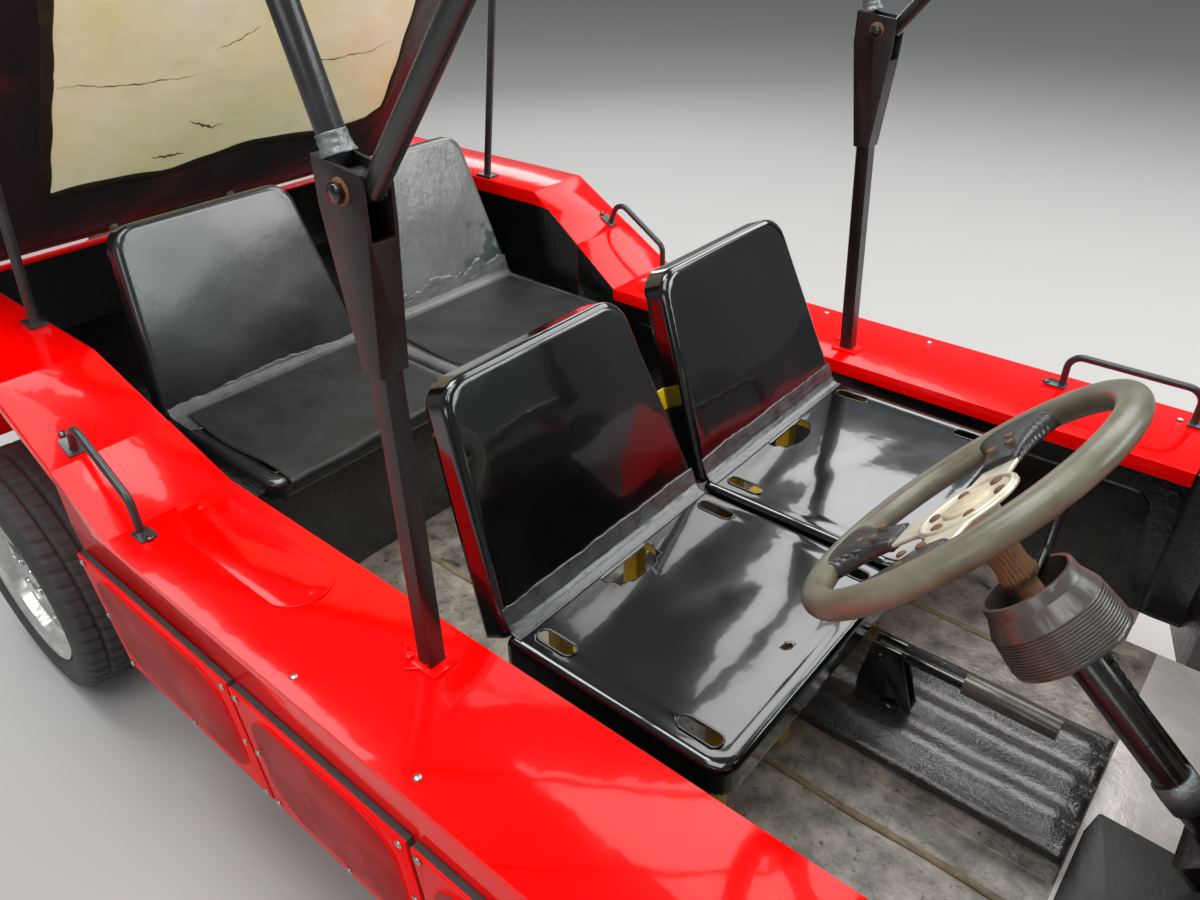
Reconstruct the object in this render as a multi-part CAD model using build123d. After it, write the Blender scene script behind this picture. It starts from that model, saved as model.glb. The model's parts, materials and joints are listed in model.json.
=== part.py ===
"""Open-top utility car: a flat-panelled four-seater on small wheels, hood frame up, rear curtain hung.

Millimetres. +X is forward, +Y is the car's left, +Z is up. The origin is on the ground under the
middle of the car. The car is right-hand drive. Pieces that come in pairs are built for the left
side (+Y) and mirrored.
"""

import math
import os

from build123d import *

os.makedirs("parts", exist_ok=True)

# Fits
FIT_GAP = 0.3               # between pieces that seat against each other
PANEL_GAP = 5.0             # around lids and anything that moves
PIN_GAP = 0.1               # round a hinge pin in its eye

# Body
SHEET = 6.0                 # a panel with its folded edges, as one wall
HALF_WIDTH = 650.0          # body side at the pontoon's top
SIDE_TUCK = 15.0            # the side leans in by this much at its bottom
CABIN_HALF = 456.5          # inner edge of the pontoon's top
INNER_WALL_SET = 8.0        # the pontoon's inner wall stands back under its lip
LIP = 25.0                  # folded edge along each panel's rim
PONTOON_TOP = 637.0
PONTOON_BOTTOM = 327.0
PONTOON_FRONT = 640.0
RAMP_FOOT = -475.0          # the fold where the pontoon's top starts to rise
RAMP_HEAD = -733.0          # the fold where the arch's top turns level
ARCH_OPENING = -590.0       # front edge of the rear wheel opening
ARCH_TOP = 790.0
ARCH_INNER = 499.0          # wheel side of the arch's inner wall
TAIL = -1325.0
TAIL_TOP = 757.0
REAR_FACE_BOTTOM = 420.0
RAMP_RISE = (ARCH_TOP - PONTOON_TOP) / (RAMP_FOOT - RAMP_HEAD)
SHOULDER = PONTOON_TOP + RAMP_RISE * (RAMP_FOOT - ARCH_OPENING)

# Pressings on the pontoon's inner wall: x of each one's rear and front end
PRESSINGS = [(-430.0, -60.0), (0.0, 300.0), (360.0, 600.0)]
PRESSING_MID = 500.0
PRESSING_HEIGHT = 150.0
PRESSING_CORNER = 32.0
PRESSING_DEPTH = 5.0

# Oblong covers on the pontoon tops: x of the ends, y of the sides
COVER_ENDS = (-458.0, -147.0)
COVER_SIDES = (484.0, 576.0)
COVER_SHEET = 2.0

# Floor and deck
FLOOR_TOP = 357.0
FLOOR_SHEET = 12.0
DECK_TOP = 591.0
HEEL_BOARD = RAMP_FOOT + SHEET
LUGGAGE_FRONT = -840.0
LUGGAGE_BOARD = 6.0
HUMP_HALF = 118.0
HUMP_HEIGHT = 34.0
HUMP_SLOPE = 20.0
HUMP_FRONT = 685.0
HUMP_REAR = -60.0
RIB_Y = (-58.0, 10.0, 78.0)
RIB_RADIUS = 20.0
RIB_RISE = 11.0
RIB_SETBACK = 40.0

# Nose
TOE_FOOT = 850.0
FIREWALL = 905.0
TOE_HEAD = 560.0
BAY_HALF = 386.0            # wheel side of the engine bay's walls
WING_SLOPE_HEAD = 800.0
WING_TOP = 790.0
NOSE = 1395.0
WING_NOSE_SLOPE = 155.0     # length of the slope down to the nose
WING_NOSE_DROP = 140.0
WING_FACE = 110.0           # upright face at the wing's front
NOSE_BOTTOM = 430.0
SCUTTLE_REAR = 790.0
SCUTTLE_HEIGHT = 55.0
SCUTTLE_TOP = WING_TOP + SCUTTLE_HEIGHT
SCUTTLE_HALF = 500.0
BONNET_DROP = 13.0          # the bonnet's rear edge lies this far under the scuttle's top
BONNET_FALL = 30.0          # from the bonnet's rear edge to its front
BONNET_CROWN = 14.0
BONNET_SKIRT = 14.0
BONNET_REAR_TOP = SCUTTLE_TOP - BONNET_DROP
BONNET_FRONT_TOP = BONNET_REAR_TOP - BONNET_FALL
BONNET_HINGE = (FIREWALL + SHEET + 7.0, SCUTTLE_TOP + 6.5)   # x and z of the hinge pins
HINGE_Y = 250.0
HINGE_EYE = 6.0
HINGE_EYE_HALF = 7.0
HINGE_EAR = 10.0
HINGE_PIN = 3.0
LID_SEAT = BONNET_FRONT_TOP - BONNET_SKIRT - 3.0    # top of the front panel
SLOT_HALF = 178.0
SLOT_HEIGHT = 22.0
SLOT_ROWS = 7
SLOT_PITCH = 38.0
SLOT_TOP_ROW = LID_SEAT - 27.0
ENGINE_REAR_GAP = 85.0
ENGINE_FRONT_GAP = 95.0
ENGINE_SIDES = (-280.0, 240.0)
ENGINE_TOP = WING_TOP - 30.0

# Wheels
WHEELBASE = 2032.0
FRONT_AXLE = 977.0
REAR_AXLE = FRONT_AXLE - WHEELBASE
FRONT_TRACK = 1204.0
REAR_TRACK = 1174.0
TYRE_RADIUS = 251.0
TYRE_WIDTH = 160.0
TREAD_HALF = 60.0
GROOVE_DEPTH = 5.0
GROOVE_HALF = 3.0
GROOVES = (-34.0, 0.0, 34.0)
RIM_RADIUS = 165.6
RIM_SEAT = 152.4
RIM_WIDTH = 128.0
RIM_SPOKES = 8
WINDOW_RADII = (76.0, 132.0)
WINDOW_HALVES = (9.0, 28.0)     # half widths of a rim's window at those radii
KINGPIN_INSET = 50.0        # the kingpin stands this far inboard of the wheel's middle
KINGPIN_RADIUS = 18.0
KINGPIN_HALF = 75.0
HUB_RADIUS = 48.0
AXLE_RADIUS = 20.0
AXLE_END = 45.0             # the stub axle ends this far outboard of the wheel's middle
HUB_SEAT = 18.0             # from the wheel's middle plane out to where it bolts on
HUB_BACK = 12.0             # from the wheel's middle plane in to the flange's back
SPARE_X = TAIL - TYRE_WIDTH / 2 - 12
SPARE_Z = 545.0

# Subframes
RAIL_INNER = 310.0
RAIL_BOTTOM = 335.0
RAIL_TOP = 350.0
RAIL_REAR = 866.0
CROSS_BOTTOM = 320.0
CROSS_WIDTH = 50.0
FRONT_CROSS_SET = 110.0     # from the nose back to the front cross member
ARM_HALF = 20.0
ARM_THICK = 13.5
TOW_REACH = 57.0            # the tow eye's bore stands this far ahead of the nose
TOW_EYE_Z = 390.0
TOW_EYE_RADIUS = 14.0
TOW_EYE_WALL = 15.0
TOW_EAR_HALF = 6.0
REAR_TOW_EYE = (-1330.0, 258.0)  # x and z, under the spare wheel
REAR_RAIL = (330.0, 380.0)  # y of the rear frame's side rails
REAR_FRAME_BOTTOM = 330.0
REAR_FRAME_TOP = 370.0
REAR_FRAME_FRONT = -800.0
REAR_FRAME_END = -1200.0
TRAIL_ARM = (400.0, 440.0)  # y of the trailing arms

# Steering
DRIVER_Y = -212.0
COLUMN_TILT = 41.0          # below the horizontal, forward
WHEEL_HUB = (498.0, 907.0)  # x and z of the steering wheel's middle
STEER_RADIUS = 165.0
STEER_GRIP = 15.0
STEER_PLATE = 4.0
STEER_SET = 6.0             # the plate's face lies this far below the rim's plane
STEER_HUB = 52.0
STEER_CAP = 25.0            # the raised disc in the plate's middle
STEER_SPOKES = (0.0, 90.0, 180.0)
SPOKE_WIDTHS = (52.0, 40.0)     # at the hub and where the arm ends
PAD_START = 88.0            # a moulded pad joins each arm to the rim from this radius out
PAD_WIDTHS = (48.0, 96.0)       # where it starts and at the rim
PAD_THICK = 12.0
COLUMN_RADIUS = 19.0
COLUMN_TOP = 165.0
COLUMN_END = 560.0
COLUMN_STRAP = 390.0
SHAFT_RADIUS = 12.0
BOSS_START = 95.0
BOSS_LENGTH = 75.0
BOSS_MOUTH = 58.0
BOSS_FOOT = 66.0
BOSS_WALL = 6.0
BOSS_RIBS = 12

# Seats
SEAT_Y = 212.0
SEAT_WIDTH = 412.0
SEAT_TOP_WIDTH = 330.0
SEAT_SHEET = 5.0
SEAT_FLANGE = 42.0
SEAT_BACK_HEIGHT = 318.0
SEAT_BASE_LENGTH = 318.0
SEAT_CORNER = 44.0
SEAT_NOSE_CORNER = 30.0
SEAT_ROLL = 11.0            # radius where a panel rolls over into its flange
# Oblong holes in the base: distance ahead of the crease, y from the seat's middle, length, width, degrees
SEAT_SLOTS = [(51.0, -172.0, 58.0, 21.0, 0.0), (51.0, 172.0, 58.0, 21.0, 0.0),
              (262.0, -172.0, 66.0, 21.0, 0.0), (262.0, 172.0, 66.0, 21.0, 0.0)]
SEAT_EYE = (14.0, 48.0)     # the round-ended hole at the crease: where it starts, its radius
SEAT_DRAIN = (271.0, 4.5)
# crease x, crease z, lean of the back in degrees, depth of the base's flange
FRONT_SEAT = (72.0, FLOOR_TOP + 261.0, 22.5, SEAT_FLANGE)
REAR_SEAT = (-745.0, DECK_TOP + 31.0, 17.0, 31.0 - FIT_GAP)
FRAME_BAR = 25.0
FRAME_ENDS = (-36.0, 250.0)     # ahead of the crease
FRAME_SIDES = (122.0, 312.0)
FRAME_LOW_BAR = 134.0           # the rear cross bar hangs this far under the rails
FRAME_FRONT_DROP = 30.0
TIE_HALF = 105.0            # the yellow strap across the backs of the front seats
TIE_RISE = (118.0, 150.0)
TIE_SHEET = 4.0
MAT_SHEET = 4.0
MAT_HALF = 190.0
MAT_START = 22.0
MAT_END = 332.0
MAT_DROP = 12.0

# Hood frame
POST_FOOT = (46.0, 512.0)
POST_HEAD = (30.0, 500.0, 1186.0)   # the pivot bolt
POST_HALF = 11.0            # half the post's square section
POST_TAPER = 176.0          # the head tapers down over this length
FOOT_PLATE = (24.0, 18.0, 4.0)
HOOD_TOP = 1437.0
HOOP_TUBE = 13.0
HOOP_BEND = 90.0
REAR_HOOP_LEAN = 20.0
FRONT_HOOP_LEAN = 40.0
STAY_TUBE = 8.0
STAY_FOOT = (-900.0, 512.0)
CHEEK = 17.0                # half the width of the bracket at each post's head
CHEEK_SHEET = 4.0
BOLT_RADIUS = 6.0
CRANK = 16.0                # the front hoop's legs stand this far ahead of its bolts
BOW_X = -791.0
BOW_TOP = 1417.0
CURTAIN_HALF = 480.0
CURTAIN_THICK = 6.0

# Windscreen
SCREEN_FOOT = 835.0
SCREEN_HALF = 520.0
SCREEN_HEIGHT = 535.0
SCREEN_LEAN = 12.0
SCREEN_RAIL = 24.0
SCREEN_AXIS = SCUTTLE_TOP + 18.0
SCREEN_HINGE_Y = 430.0
SCREEN_PIN = 5.0
SCREEN_EYE = 9.0
SCREEN_EYE_HALF = 11.0
SCREEN_DROP = 12.0          # from the frame's bottom rail down to its hinge pins
PANE = 6.0
MIRROR_RISE = 330.0
MIRROR_REACH = 70.0
MIRROR_SIZE = (110.0, 75.0)
MIRROR_DEPTH = 22.0

# Lamps: y, z, radius, depth
HEADLAMP = (295.0, LID_SEAT - 113.0, 89.0, 34.0)
INDICATOR = (520.0, WING_TOP - 190.0, 34.0, 26.0)
TAIL_LAMPS = [(572.0, ARCH_TOP - 120.0, 42.0, 24.0), (572.0, ARCH_TOP - 220.0, 30.0, 20.0)]

# Outside fittings
BUMPER_TUBE = 19.0
BUMPER_Z = 470.0
BUMPER_REACH = 83.0         # from the nose to the front bumper's axis
BUMPER_HALF = 520.0
BUMPER_STRAP_Y = 240.0
REAR_BUMPER_Z = REAR_FACE_BOTTOM + 40
REAR_BUMPER = (310.0, 600.0)    # y of its two ends
REAR_BUMPER_REACH = 90.0
SIDE_PANELS = [(-585.0, -184.0), (-176.0, 158.0), (166.0, 636.0)]
SIDE_PANEL_DROP = 70.0
SEAL = 9.0                  # the packing behind a side panel
SIDE_PLATE = 3.0
SIDE_FIELD = 2.5
SIDE_MARGIN = 26.0
SIDE_CORNER = 60.0
HANDLE_BAR = 6.0
HANDLE_FOOT = (34.0, 13.0, 3.0)  # length, half width and thickness of a handle's flattened end
FRONT_HANDLE = (401.0, 605.0, 610.0, 60.0)   # x of the ends, y, height
REAR_HANDLE = (-604.0, -455.0, 606.0, 55.0)
PIPE_RADIUS = 20.0
PIPE_Z = 275.0
PIPE_Y = 160.0
PIPE_END = REAR_AXLE - 235.0
SILENCER = (-720.0, -320.0, 200.0, 90.0)     # x of its ends, width, height


def block(x0, x1, y0, y1, z0, z1):
    """A box between two corners."""
    return Pos((x0 + x1) / 2, (y0 + y1) / 2, (z0 + z1) / 2) * Box(x1 - x0, y1 - y0, z1 - z0)


def side_plate(points, y0, y1):
    """A prism: an outline of x and z, carried from y0 to y1."""
    outline = Polyline(*[(x, y0, z) for x, z in points], close=True)
    return extrude(make_face(outline), amount=y1 - y0, dir=(0, 1, 0))


def plan_plate(points, z0, z1):
    """A prism: an outline of x and y, carried from z0 to z1."""
    outline = Polyline(*[(x, y, z0) for x, y in points], close=True)
    return extrude(make_face(outline), amount=z1 - z0, dir=(0, 0, 1))


def cross_plate(points, x0, x1):
    """A prism: an outline of y and z, carried from x0 to x1."""
    outline = Polyline(*[(x0, y, z) for y, z in points], close=True)
    return extrude(make_face(outline), amount=x1 - x0, dir=(1, 0, 0))


def round_bar(start, end, radius):
    """A straight round bar between two points."""
    run = Vector(*end) - Vector(*start)
    return extrude(Plane(origin=start, z_dir=run.normalized()) * Circle(radius), amount=run.length)


def bent_bar(points, bend, radius):
    """A round bar along straight runs joined by arcs of one radius."""
    path = FilletPolyline(*points, radius=bend)
    return sweep(Plane(origin=path @ 0, z_dir=path % 0) * Circle(radius), path=path)


def square_bar(start, end, half):
    """A straight bar of square section between two points."""
    run = Vector(*end) - Vector(*start)
    section = Plane(origin=start, x_dir=(0, 1, 0), z_dir=run.normalized()) * Rectangle(2 * half, 2 * half)
    return extrude(section, amount=run.length)


def mirrored(shape):
    """The same shape on the other side of the car."""
    return mirror(shape, about=Plane.XZ)


def both(shape):
    """A shape and its mirror image, as solids that don't touch."""
    return Compound(children=[shape, mirrored(shape)])


def group(shapes):
    """Solids that share a node."""
    return Compound(children=list(shapes))


def write(name, shape):
    """Write one piece to its own file."""
    export_step(shape, f"parts/{name}.step")


# Side structure

def pontoon():
    """The box along the cabin's side: sloped outer wall, lipped top, pressings inside."""
    outline = [(PONTOON_FRONT, PONTOON_BOTTOM), (ARCH_OPENING, PONTOON_BOTTOM), (ARCH_OPENING, SHOULDER),
               (RAMP_FOOT, PONTOON_TOP), (PONTOON_FRONT, PONTOON_TOP)]
    body = side_plate(outline, CABIN_HALF, HALF_WIDTH)
    tuck = cross_plate([(HALF_WIDTH, PONTOON_TOP - LIP), (HALF_WIDTH + 50, PONTOON_TOP - LIP),
                        (HALF_WIDTH + 50, PONTOON_BOTTOM), (HALF_WIDTH - SIDE_TUCK, PONTOON_BOTTOM)],
                       ARCH_OPENING, PONTOON_FRONT)
    splay = plan_plate([(RAMP_FOOT, CABIN_HALF), (RAMP_HEAD, ARCH_INNER - SHEET), (RAMP_HEAD, 0),
                        (RAMP_FOOT, 0)], PONTOON_BOTTOM, ARCH_TOP)
    undercut = block(RAMP_FOOT, PONTOON_FRONT, CABIN_HALF, CABIN_HALF + INNER_WALL_SET,
                     PONTOON_BOTTOM, PONTOON_TOP - LIP)
    body = body - tuck - splay - undercut
    for x0, x1 in PRESSINGS:
        raised = (Plane.XZ * Pos((x0 + x1) / 2, PRESSING_MID, 0)
                  * RectangleRounded(x1 - x0, PRESSING_HEIGHT, PRESSING_CORNER))
        body += Pos(0, CABIN_HALF + INNER_WALL_SET, 0) * extrude(raised, amount=PRESSING_DEPTH)
    return body


def pontoon_cover():
    """The oblong lid screwed over the opening in the pontoon's top."""
    x0, x1 = COVER_ENDS
    y0, y1 = COVER_SIDES
    outline = Pos((x0 + x1) / 2, (y0 + y1) / 2, PONTOON_TOP + FIT_GAP) * SlotOverall(x1 - x0, y1 - y0)
    return extrude(outline, amount=COVER_SHEET)


def rear_arch():
    """The flat-topped arch over a rear wheel: ramp, top, outer lip, inner wall and rear face."""
    drop = SHEET * math.hypot(1, RAMP_RISE)
    skin = [(ARCH_OPENING, SHOULDER), (RAMP_HEAD, ARCH_TOP), (TAIL, ARCH_TOP), (TAIL, REAR_FACE_BOTTOM),
            (TAIL + SHEET, REAR_FACE_BOTTOM), (TAIL + SHEET, ARCH_TOP - SHEET),
            (RAMP_HEAD, ARCH_TOP - SHEET), (ARCH_OPENING, SHOULDER - drop)]
    inner = ARCH_INNER - SHEET
    body = side_plate(skin, CABIN_HALF, HALF_WIDTH)
    lip = [(ARCH_OPENING, SHOULDER), (RAMP_HEAD, ARCH_TOP), (TAIL, ARCH_TOP), (TAIL, ARCH_TOP - LIP),
           (RAMP_HEAD, ARCH_TOP - LIP), (ARCH_OPENING, SHOULDER - LIP)]
    body += side_plate(lip, HALF_WIDTH - SHEET, HALF_WIDTH)
    splay = plan_plate([(RAMP_FOOT, CABIN_HALF), (RAMP_HEAD, inner), (TAIL - 50, inner), (TAIL - 50, 0),
                        (RAMP_FOOT, 0)], 0, ARCH_TOP + 50)
    body -= splay
    start = CABIN_HALF + (inner - CABIN_HALF) * (RAMP_FOOT - ARCH_OPENING) / (RAMP_FOOT - RAMP_HEAD)
    wall = plan_plate([(ARCH_OPENING, start), (RAMP_HEAD, inner), (TAIL, inner), (TAIL, inner + SHEET),
                       (RAMP_HEAD, inner + SHEET), (ARCH_OPENING, start + SHEET)],
                      PONTOON_BOTTOM, ARCH_TOP)
    over = side_plate([(ARCH_OPENING + 50, SHOULDER - 50 * RAMP_RISE), (RAMP_HEAD, ARCH_TOP),
                       (RAMP_HEAD, ARCH_TOP + 200), (ARCH_OPENING + 50, ARCH_TOP + 200)], 0, HALF_WIDTH)
    return body + (wall - over)


def rear_deck():
    """Heel board and seat deck: a folded sheet between the arches."""
    half = CABIN_HALF - FIT_GAP
    deck = block(HEEL_BOARD - SHEET, HEEL_BOARD, -half, half, FLOOR_TOP, DECK_TOP)
    deck += block(ARCH_OPENING, HEEL_BOARD, -half, half, DECK_TOP - SHEET, DECK_TOP)
    back_half = ARCH_INNER - SHEET
    under = DECK_TOP - LUGGAGE_BOARD - FIT_GAP
    deck += plan_plate([(ARCH_OPENING, half), (RAMP_HEAD, back_half), (LUGGAGE_FRONT, back_half),
                        (LUGGAGE_FRONT, -back_half), (RAMP_HEAD, -back_half), (ARCH_OPENING, -half)],
                       DECK_TOP - SHEET, DECK_TOP)
    deck += block(TAIL + SHEET, LUGGAGE_FRONT + SHEET, -back_half, back_half, under - SHEET, under)
    deck += block(LUGGAGE_FRONT, LUGGAGE_FRONT + SHEET, -back_half, back_half, under - SHEET, DECK_TOP)
    return deck


def luggage_floor():
    """The flat board behind the rear seats."""
    half = ARCH_INNER - SHEET - FIT_GAP
    rear = TAIL + SHEET + FIT_GAP
    return block(rear, LUGGAGE_FRONT - FIT_GAP, -half, half, DECK_TOP - LUGGAGE_BOARD, DECK_TOP)


def tail_panel():
    """The panel across the tail, with a folded rim along its top and the boss that carries the spare."""
    half = ARCH_INNER - SHEET
    panel = block(TAIL, TAIL + SHEET, -half, half, REAR_FACE_BOTTOM, TAIL_TOP)
    panel += block(TAIL, TAIL + LIP, -half, half, TAIL_TOP - SHEET, TAIL_TOP)
    face = SPARE_X - HUB_SEAT + FIT_GAP
    panel += round_bar((TAIL, 0, SPARE_Z), (face, 0, SPARE_Z), HUB_RADIUS)
    panel += round_bar((TAIL, 0, SPARE_Z), (face - 40, 0, SPARE_Z), AXLE_RADIUS)
    return panel


# Floor

def floor_pan():
    """Flat floor with a low hump down its middle, ribbed along the top."""
    half = CABIN_HALF + INNER_WALL_SET
    well = BAY_HALF - SHEET
    pan = block(RAMP_FOOT, PONTOON_FRONT, -half, half, FLOOR_TOP - FLOOR_SHEET, FLOOR_TOP)
    pan += block(PONTOON_FRONT, TOE_FOOT, -well, well, FLOOR_TOP - FLOOR_SHEET, FLOOR_TOP)
    top = FLOOR_TOP + HUMP_HEIGHT
    crest = HUMP_HALF - HUMP_SLOPE
    pan += cross_plate([(-HUMP_HALF, FLOOR_TOP), (HUMP_HALF, FLOOR_TOP), (crest, top), (-crest, top)],
                       HUMP_REAR, HUMP_FRONT)
    start = HUMP_REAR + RIB_SETBACK
    for y in RIB_Y:
        rib = Plane(origin=(start, y, top + RIB_RISE - RIB_RADIUS), z_dir=(1, 0, 0)) * Circle(RIB_RADIUS)
        bar = extrude(rib, amount=HUMP_FRONT - start)
        pan += bar & block(HUMP_REAR, HUMP_FRONT, y - 30, y + 30, top - 2, top + 40)
    return pan


# Nose

def hinge_seat(x, y, z, outer, pin, inner_half, ear, foot):
    """Two ears and the pin across them: x, y and z of the pin's middle, foot is the surface below."""
    seat = round_bar((x, y - inner_half - ear, z), (x, y + inner_half + ear, z), pin)
    for y0, y1 in ((y + inner_half, y + inner_half + ear), (y - inner_half - ear, y - inner_half)):
        seat += round_bar((x, y0, z), (x, y1, z), outer)
        seat += block(x - outer, x + outer, y0, y1, foot, z)
    return seat


def bulkhead():
    """Toe board, firewall, the shallow box of the scuttle, and the seats of the lid's and screen's hinges."""
    half = BAY_HALF - SHEET
    toe = side_plate([(TOE_FOOT, FLOOR_TOP - FLOOR_SHEET), (TOE_FOOT, FLOOR_TOP), (FIREWALL, TOE_HEAD),
                      (FIREWALL, WING_TOP), (FIREWALL + SHEET, WING_TOP),
                      (FIREWALL + SHEET, TOE_HEAD - 4), (TOE_FOOT + 8, FLOOR_TOP - FLOOR_SHEET)],
                     -half, half)
    outer = block(SCUTTLE_REAR, FIREWALL + SHEET, -SCUTTLE_HALF, SCUTTLE_HALF, WING_TOP, SCUTTLE_TOP)
    inner = block(SCUTTLE_REAR + SHEET, FIREWALL, -SCUTTLE_HALF + SHEET, SCUTTLE_HALF - SHEET,
                  WING_TOP, SCUTTLE_TOP - SHEET)
    shape = toe + (outer - inner)
    hx, hz = BONNET_HINGE
    gap = HINGE_EYE_HALF + 1
    for y in (-HINGE_Y, HINGE_Y):
        seat = round_bar((hx, y - gap - HINGE_EAR, hz), (hx, y + gap + HINGE_EAR, hz), HINGE_PIN)
        for y0, y1 in ((y + gap, y + gap + HINGE_EAR), (y - gap - HINGE_EAR, y - gap)):
            seat += round_bar((hx, y0, hz), (hx, y1, hz), HINGE_EYE)
            seat += block(hx - 24, hx, y0, y1, SCUTTLE_TOP, hz)
        shape += seat
    for y in (-SCREEN_HINGE_Y, SCREEN_HINGE_Y):
        shape += hinge_seat(SCREEN_FOOT, y, SCREEN_AXIS, SCREEN_EYE, SCREEN_PIN, SCREEN_EYE_HALF + 1, 8,
                            SCUTTLE_TOP)
    return shape


def front_wing():
    """Wing over a front wheel: closing face, slope, flat top, nose slope, lip and bay wall."""
    slope = NOSE - WING_NOSE_SLOPE
    chin = WING_TOP - WING_NOSE_DROP
    foot = PONTOON_FRONT
    top = [(foot, PONTOON_TOP), (WING_SLOPE_HEAD, WING_TOP), (slope, WING_TOP),
           (NOSE, chin), (NOSE, chin - WING_FACE), (NOSE - SHEET, chin - WING_FACE),
           (NOSE - SHEET, chin - 3), (slope - 2, WING_TOP - SHEET),
           (WING_SLOPE_HEAD + 2, WING_TOP - SHEET), (foot + 9, PONTOON_TOP - 0.01),
           (foot + 9, PONTOON_BOTTOM), (foot, PONTOON_BOTTOM)]
    body = side_plate(top, BAY_HALF - SHEET, HALF_WIDTH)
    lip = [(foot, PONTOON_TOP), (WING_SLOPE_HEAD, WING_TOP), (slope, WING_TOP),
           (NOSE, chin), (NOSE - LIP, chin - 6), (slope - 8, WING_TOP - LIP),
           (WING_SLOPE_HEAD + 10, WING_TOP - LIP), (foot + LIP, PONTOON_TOP - 6)]
    body += side_plate(lip, HALF_WIDTH - SHEET, HALF_WIDTH)
    skirt = BONNET_SKIRT + PANEL_GAP
    wall = side_plate([(foot, PONTOON_BOTTOM), (foot, PONTOON_TOP), (WING_SLOPE_HEAD, WING_TOP),
                       (FIREWALL + SHEET, WING_TOP), (FIREWALL + SHEET, BONNET_REAR_TOP - skirt),
                       (NOSE, BONNET_FRONT_TOP - skirt), (NOSE, NOSE_BOTTOM),
                       (TOE_FOOT, PONTOON_BOTTOM)], BAY_HALF - SHEET, BAY_HALF)
    body += wall
    tuck = cross_plate([(HALF_WIDTH, PONTOON_TOP - LIP), (HALF_WIDTH + 50, PONTOON_TOP - LIP),
                        (HALF_WIDTH + 50, PONTOON_BOTTOM), (HALF_WIDTH - SIDE_TUCK, PONTOON_BOTTOM)],
                       foot, foot + 10)
    return body - tuck


def front_panel():
    """The upright nose panel with its rows of slots."""
    half = BAY_HALF - SHEET - FIT_GAP
    panel = block(NOSE - SHEET, NOSE, -half, half, NOSE_BOTTOM, LID_SEAT)
    for row in range(SLOT_ROWS):
        slot = (Plane.YZ * Pos(0, SLOT_TOP_ROW - row * SLOT_PITCH, 0)
                * SlotOverall(2 * SLOT_HALF, SLOT_HEIGHT))
        panel -= Pos(NOSE - 2 * SHEET, 0, 0) * extrude(slot, amount=3 * SHEET)
    return panel


def bonnet():
    """The crowned lid over the engine bay, with a skirt down each side and two hinge eyes."""
    length = NOSE - FIREWALL - SHEET - PANEL_GAP
    half = BAY_HALF - 2
    arc = ThreePointArc((0, -half, 0), (0, 0, BONNET_CROWN), (0, half, 0))
    low = ThreePointArc((0, half - SHEET, -SHEET), (0, 0, BONNET_CROWN - SHEET), (0, SHEET - half, -SHEET))
    rim = make_face([arc, Line((0, half, 0), (0, half, -BONNET_SKIRT)),
                     Line((0, half, -BONNET_SKIRT), (0, half - SHEET, -BONNET_SKIRT)),
                     Line((0, half - SHEET, -BONNET_SKIRT), (0, half - SHEET, -SHEET)), low,
                     Line((0, SHEET - half, -SHEET), (0, SHEET - half, -BONNET_SKIRT)),
                     Line((0, SHEET - half, -BONNET_SKIRT), (0, -half, -BONNET_SKIRT)),
                     Line((0, -half, -BONNET_SKIRT), (0, -half, 0))])
    lid = extrude(rim, amount=length, dir=(1, 0, 0))
    fall = math.degrees(math.atan2(BONNET_FALL, length))
    lid = Pos(FIREWALL + SHEET + PANEL_GAP, 0, BONNET_REAR_TOP) * Rot(0, fall, 0) * lid
    hx, hz = BONNET_HINGE
    leaf = HINGE_EYE_HALF
    for y in (-HINGE_Y, HINGE_Y):
        eye = round_bar((hx, y - leaf, hz), (hx, y + leaf, hz), HINGE_EYE)
        strap = [(hx, hz + HINGE_EYE), (hx, hz - 2), (hx + 6, BONNET_REAR_TOP + 4),
                 (hx + 40, BONNET_REAR_TOP + 2), (hx + 40, BONNET_REAR_TOP + 9)]
        eye += side_plate(strap, y - leaf, y + leaf)
        lid += eye - round_bar((hx, y - 20, hz), (hx, y + 20, hz), HINGE_PIN + PIN_GAP)
    return lid


def engine_block():
    """The engine and gearbox as one plain block across the car."""
    y0, y1 = ENGINE_SIDES
    return block(FIREWALL + ENGINE_REAR_GAP, NOSE - ENGINE_FRONT_GAP, y0, y1, RAIL_TOP + FIT_GAP, ENGINE_TOP)


# Wheels

def tyre(x, y, z=TYRE_RADIUS):
    """A tyre on the rim's seats, axle along Y, with its main grooves."""
    half = TYRE_WIDTH / 2
    bead = RIM_WIDTH / 2 - FIT_GAP
    side = [(RIM_SEAT, bead - 12), (RIM_RADIUS + FIT_GAP, bead - 5), (RIM_RADIUS + 3, half - 12),
            (TYRE_RADIUS - 45, half), (TYRE_RADIUS - 12, half - 6), (TYRE_RADIUS - 3, TREAD_HALF)]
    outline = Polyline(*[(r, -w) for r, w in side], (TYRE_RADIUS, -TREAD_HALF + 12),
                       (TYRE_RADIUS, TREAD_HALF - 12), *reversed(side), close=True)
    ring = revolve(make_face(outline), axis=Axis.Y)
    for groove in GROOVES:
        cut = Pos(TYRE_RADIUS, groove, 0) * Rectangle(2 * GROOVE_DEPTH, 2 * GROOVE_HALF)
        ring -= revolve(cut, axis=Axis.Y)
    return Pos(x, y, z) * ring


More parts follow.
